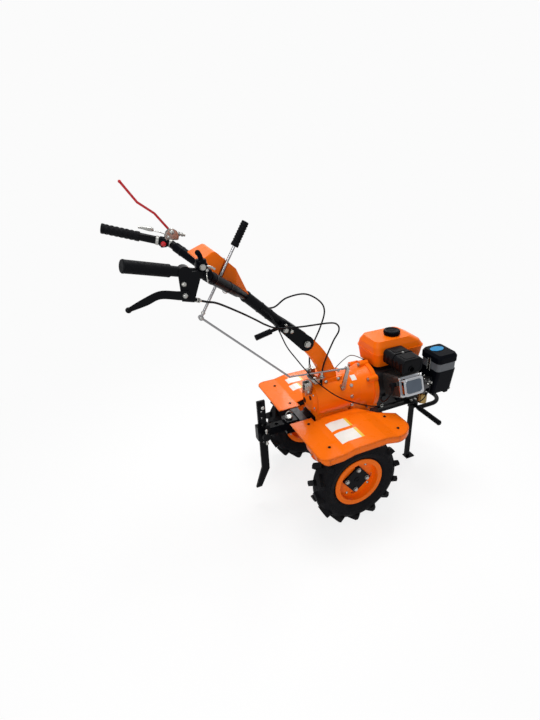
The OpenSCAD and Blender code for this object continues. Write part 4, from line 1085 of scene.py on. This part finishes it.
HUB_RADIUS = 36 * 2 ** 0.5
VALVE_WAY = Vector((cos(radians(100)), 0, sin(radians(100))))
for side, hand in ((1, "left"), (-1, "right")):
    body = "wheel_" + hand
    out = side * LEFT
    d = Draft()
    for a in map(radians, range(83, 443, 90)):
        x, z = HUB_RADIUS * cos(a), AXLE_Z + HUB_RADIUS * sin(a)
        d.bolt((x, side * HUB_FACE, z), out, 10)
        d.bolt((x, side * (HUB_FACE - 16), z), -out, 9)
    for a in map(radians, range(53, 413, 90)):
        d.screw((78 * cos(a), side * (HUB_FACE - 10), AXLE_Z + 78 * sin(a)), out, 6)
    piece("hub_bolts_" + hand, d, body, ZINC)
    d = Draft()
    stem = [AXLE_Z * UP + r * VALVE_WAY + y * out for r, y in ((92, 268), (86, 284), (79, 297))]
    d.tube(stem, [5.4, 4.2, 3.6], 14)
    d.lathe(stem[-1], 0.87 * out - 0.45 * VALVE_WAY, [(0.05, -1), (4.6, -1), (4.6, 6), (3.6, 8), (0.05, 8.2)], 16)
    profile = [(0.05, 0.3), (7.5, 0.3), (8.2, 2.2), (12.4, 2.2), (13.2, 1.2), (13.2, -0.5), (0.05, -0.5)]
    d.lathe((0, side * HUB_FACE, AXLE_Z), out, profile, 30)
    piece("valve_" + hand, d, body, RUBBER)
    d = Draft()
    bar = [(153.6, -0.8), (162.6, -0.8), (162.6, 0.8), (153.6, 0.8)]
    for face in (1, -1):
        start = Vector((0, side * (WHEEL_Y + face * 51), AXLE_Z))
        u, v, w = basis(face * out)
        for r in (150.5, 163.0):
            d.lathe(start, w, [(r, -0.6), (r + 0.6, 0.9), (r + 2.2, 0.9), (r + 2.8, -0.6), (r, -0.6)], 90)
        for k in range(60):
            a = 2 * pi * k / 60
            ray = u * cos(a) + v * sin(a)
            d.slab(bar, start - 0.4 * w, ray, w.cross(ray), 1.1)
    piece("sidewall_marks_" + hand, d, body, TYRE)

# Floor and light: the floor looks white like the background but keeps the shadow near the tractor

WHITE_LEVEL = 0.965
AMBIENT = 0.36
FLOOR_GLOW, FLOOR_GREY = 0.8, 0.22
SHADOW_FADE = (0.8, 2.2)
floor = bpy.data.objects.new("floor", bpy.data.meshes.new("floor"))
floor.data.from_pydata([(-20, -20, 0), (20, -20, 0), (20, 20, 0), (-20, 20, 0)], [], [(0, 1, 2, 3)])
scene.collection.objects.link(floor)
pale = Look("floor_pale")
pale.shader.inputs["Base Color"].default_value = (0.86, 0.86, 0.86, 1)
pale.shader.inputs["Roughness"].default_value = 0.9
lit = pale.node("ShaderNodeBsdfDiffuse")
lit.inputs["Color"].default_value = (FLOOR_GREY, FLOOR_GREY, FLOOR_GREY, 1)
near = pale.node("ShaderNodeAddShader")
pale.link(pale.plain("ShaderNodeEmission", 1, FLOOR_GLOW), near.inputs[0])
pale.link(lit.outputs[0], near.inputs[1])
far = pale.plain("ShaderNodeEmission", WHITE_LEVEL, 1.0)
away = pale.node("ShaderNodeVectorMath", operation="LENGTH")
pale.link(pale.coord.outputs["Object"], away.inputs[0])
fade = pale.span(away.outputs["Value"], *SHADOW_FADE, 0.0, 1.0)
pale.as_seen(pale.shader.outputs[0], pale.mixed(fade, near.outputs[0], far))
floor.data.materials.append(pale.mat)

world = bpy.data.worlds.new("studio")
scene.world = world
sky = Tree(world, "ShaderNodeOutputWorld")
sky.as_seen(sky.plain("ShaderNodeBackground", 1, AMBIENT), sky.plain("ShaderNodeBackground", WHITE_LEVEL, 1.0))


def softbox(name, place, target, size, power):
    """A soft lamp that faces a target."""
    lamp = bpy.data.objects.new(name, bpy.data.lights.new(name, "AREA"))
    lamp.data.shape = "RECTANGLE"
    lamp.data.size, lamp.data.size_y = size
    lamp.data.energy = power
    scene.collection.objects.link(lamp)
    lamp.location = place
    lamp.rotation_euler = (Vector(target) - Vector(place)).to_track_quat("-Z", "Y").to_euler()


softbox("top_light", (0.3, 0.4, 3.6), (0, 0, 0.4), (1.7, 1.3), 64)
softbox("side_light", (-2.4, -2.6, 2.2), (0, 0, 0.6), (0.9, 0.9), 36)
softbox("back_light", (1.6, 3.0, 2.4), (0, 0, 0.6), (1.0, 0.8), 18)

scene.view_settings.view_transform = "Standard"
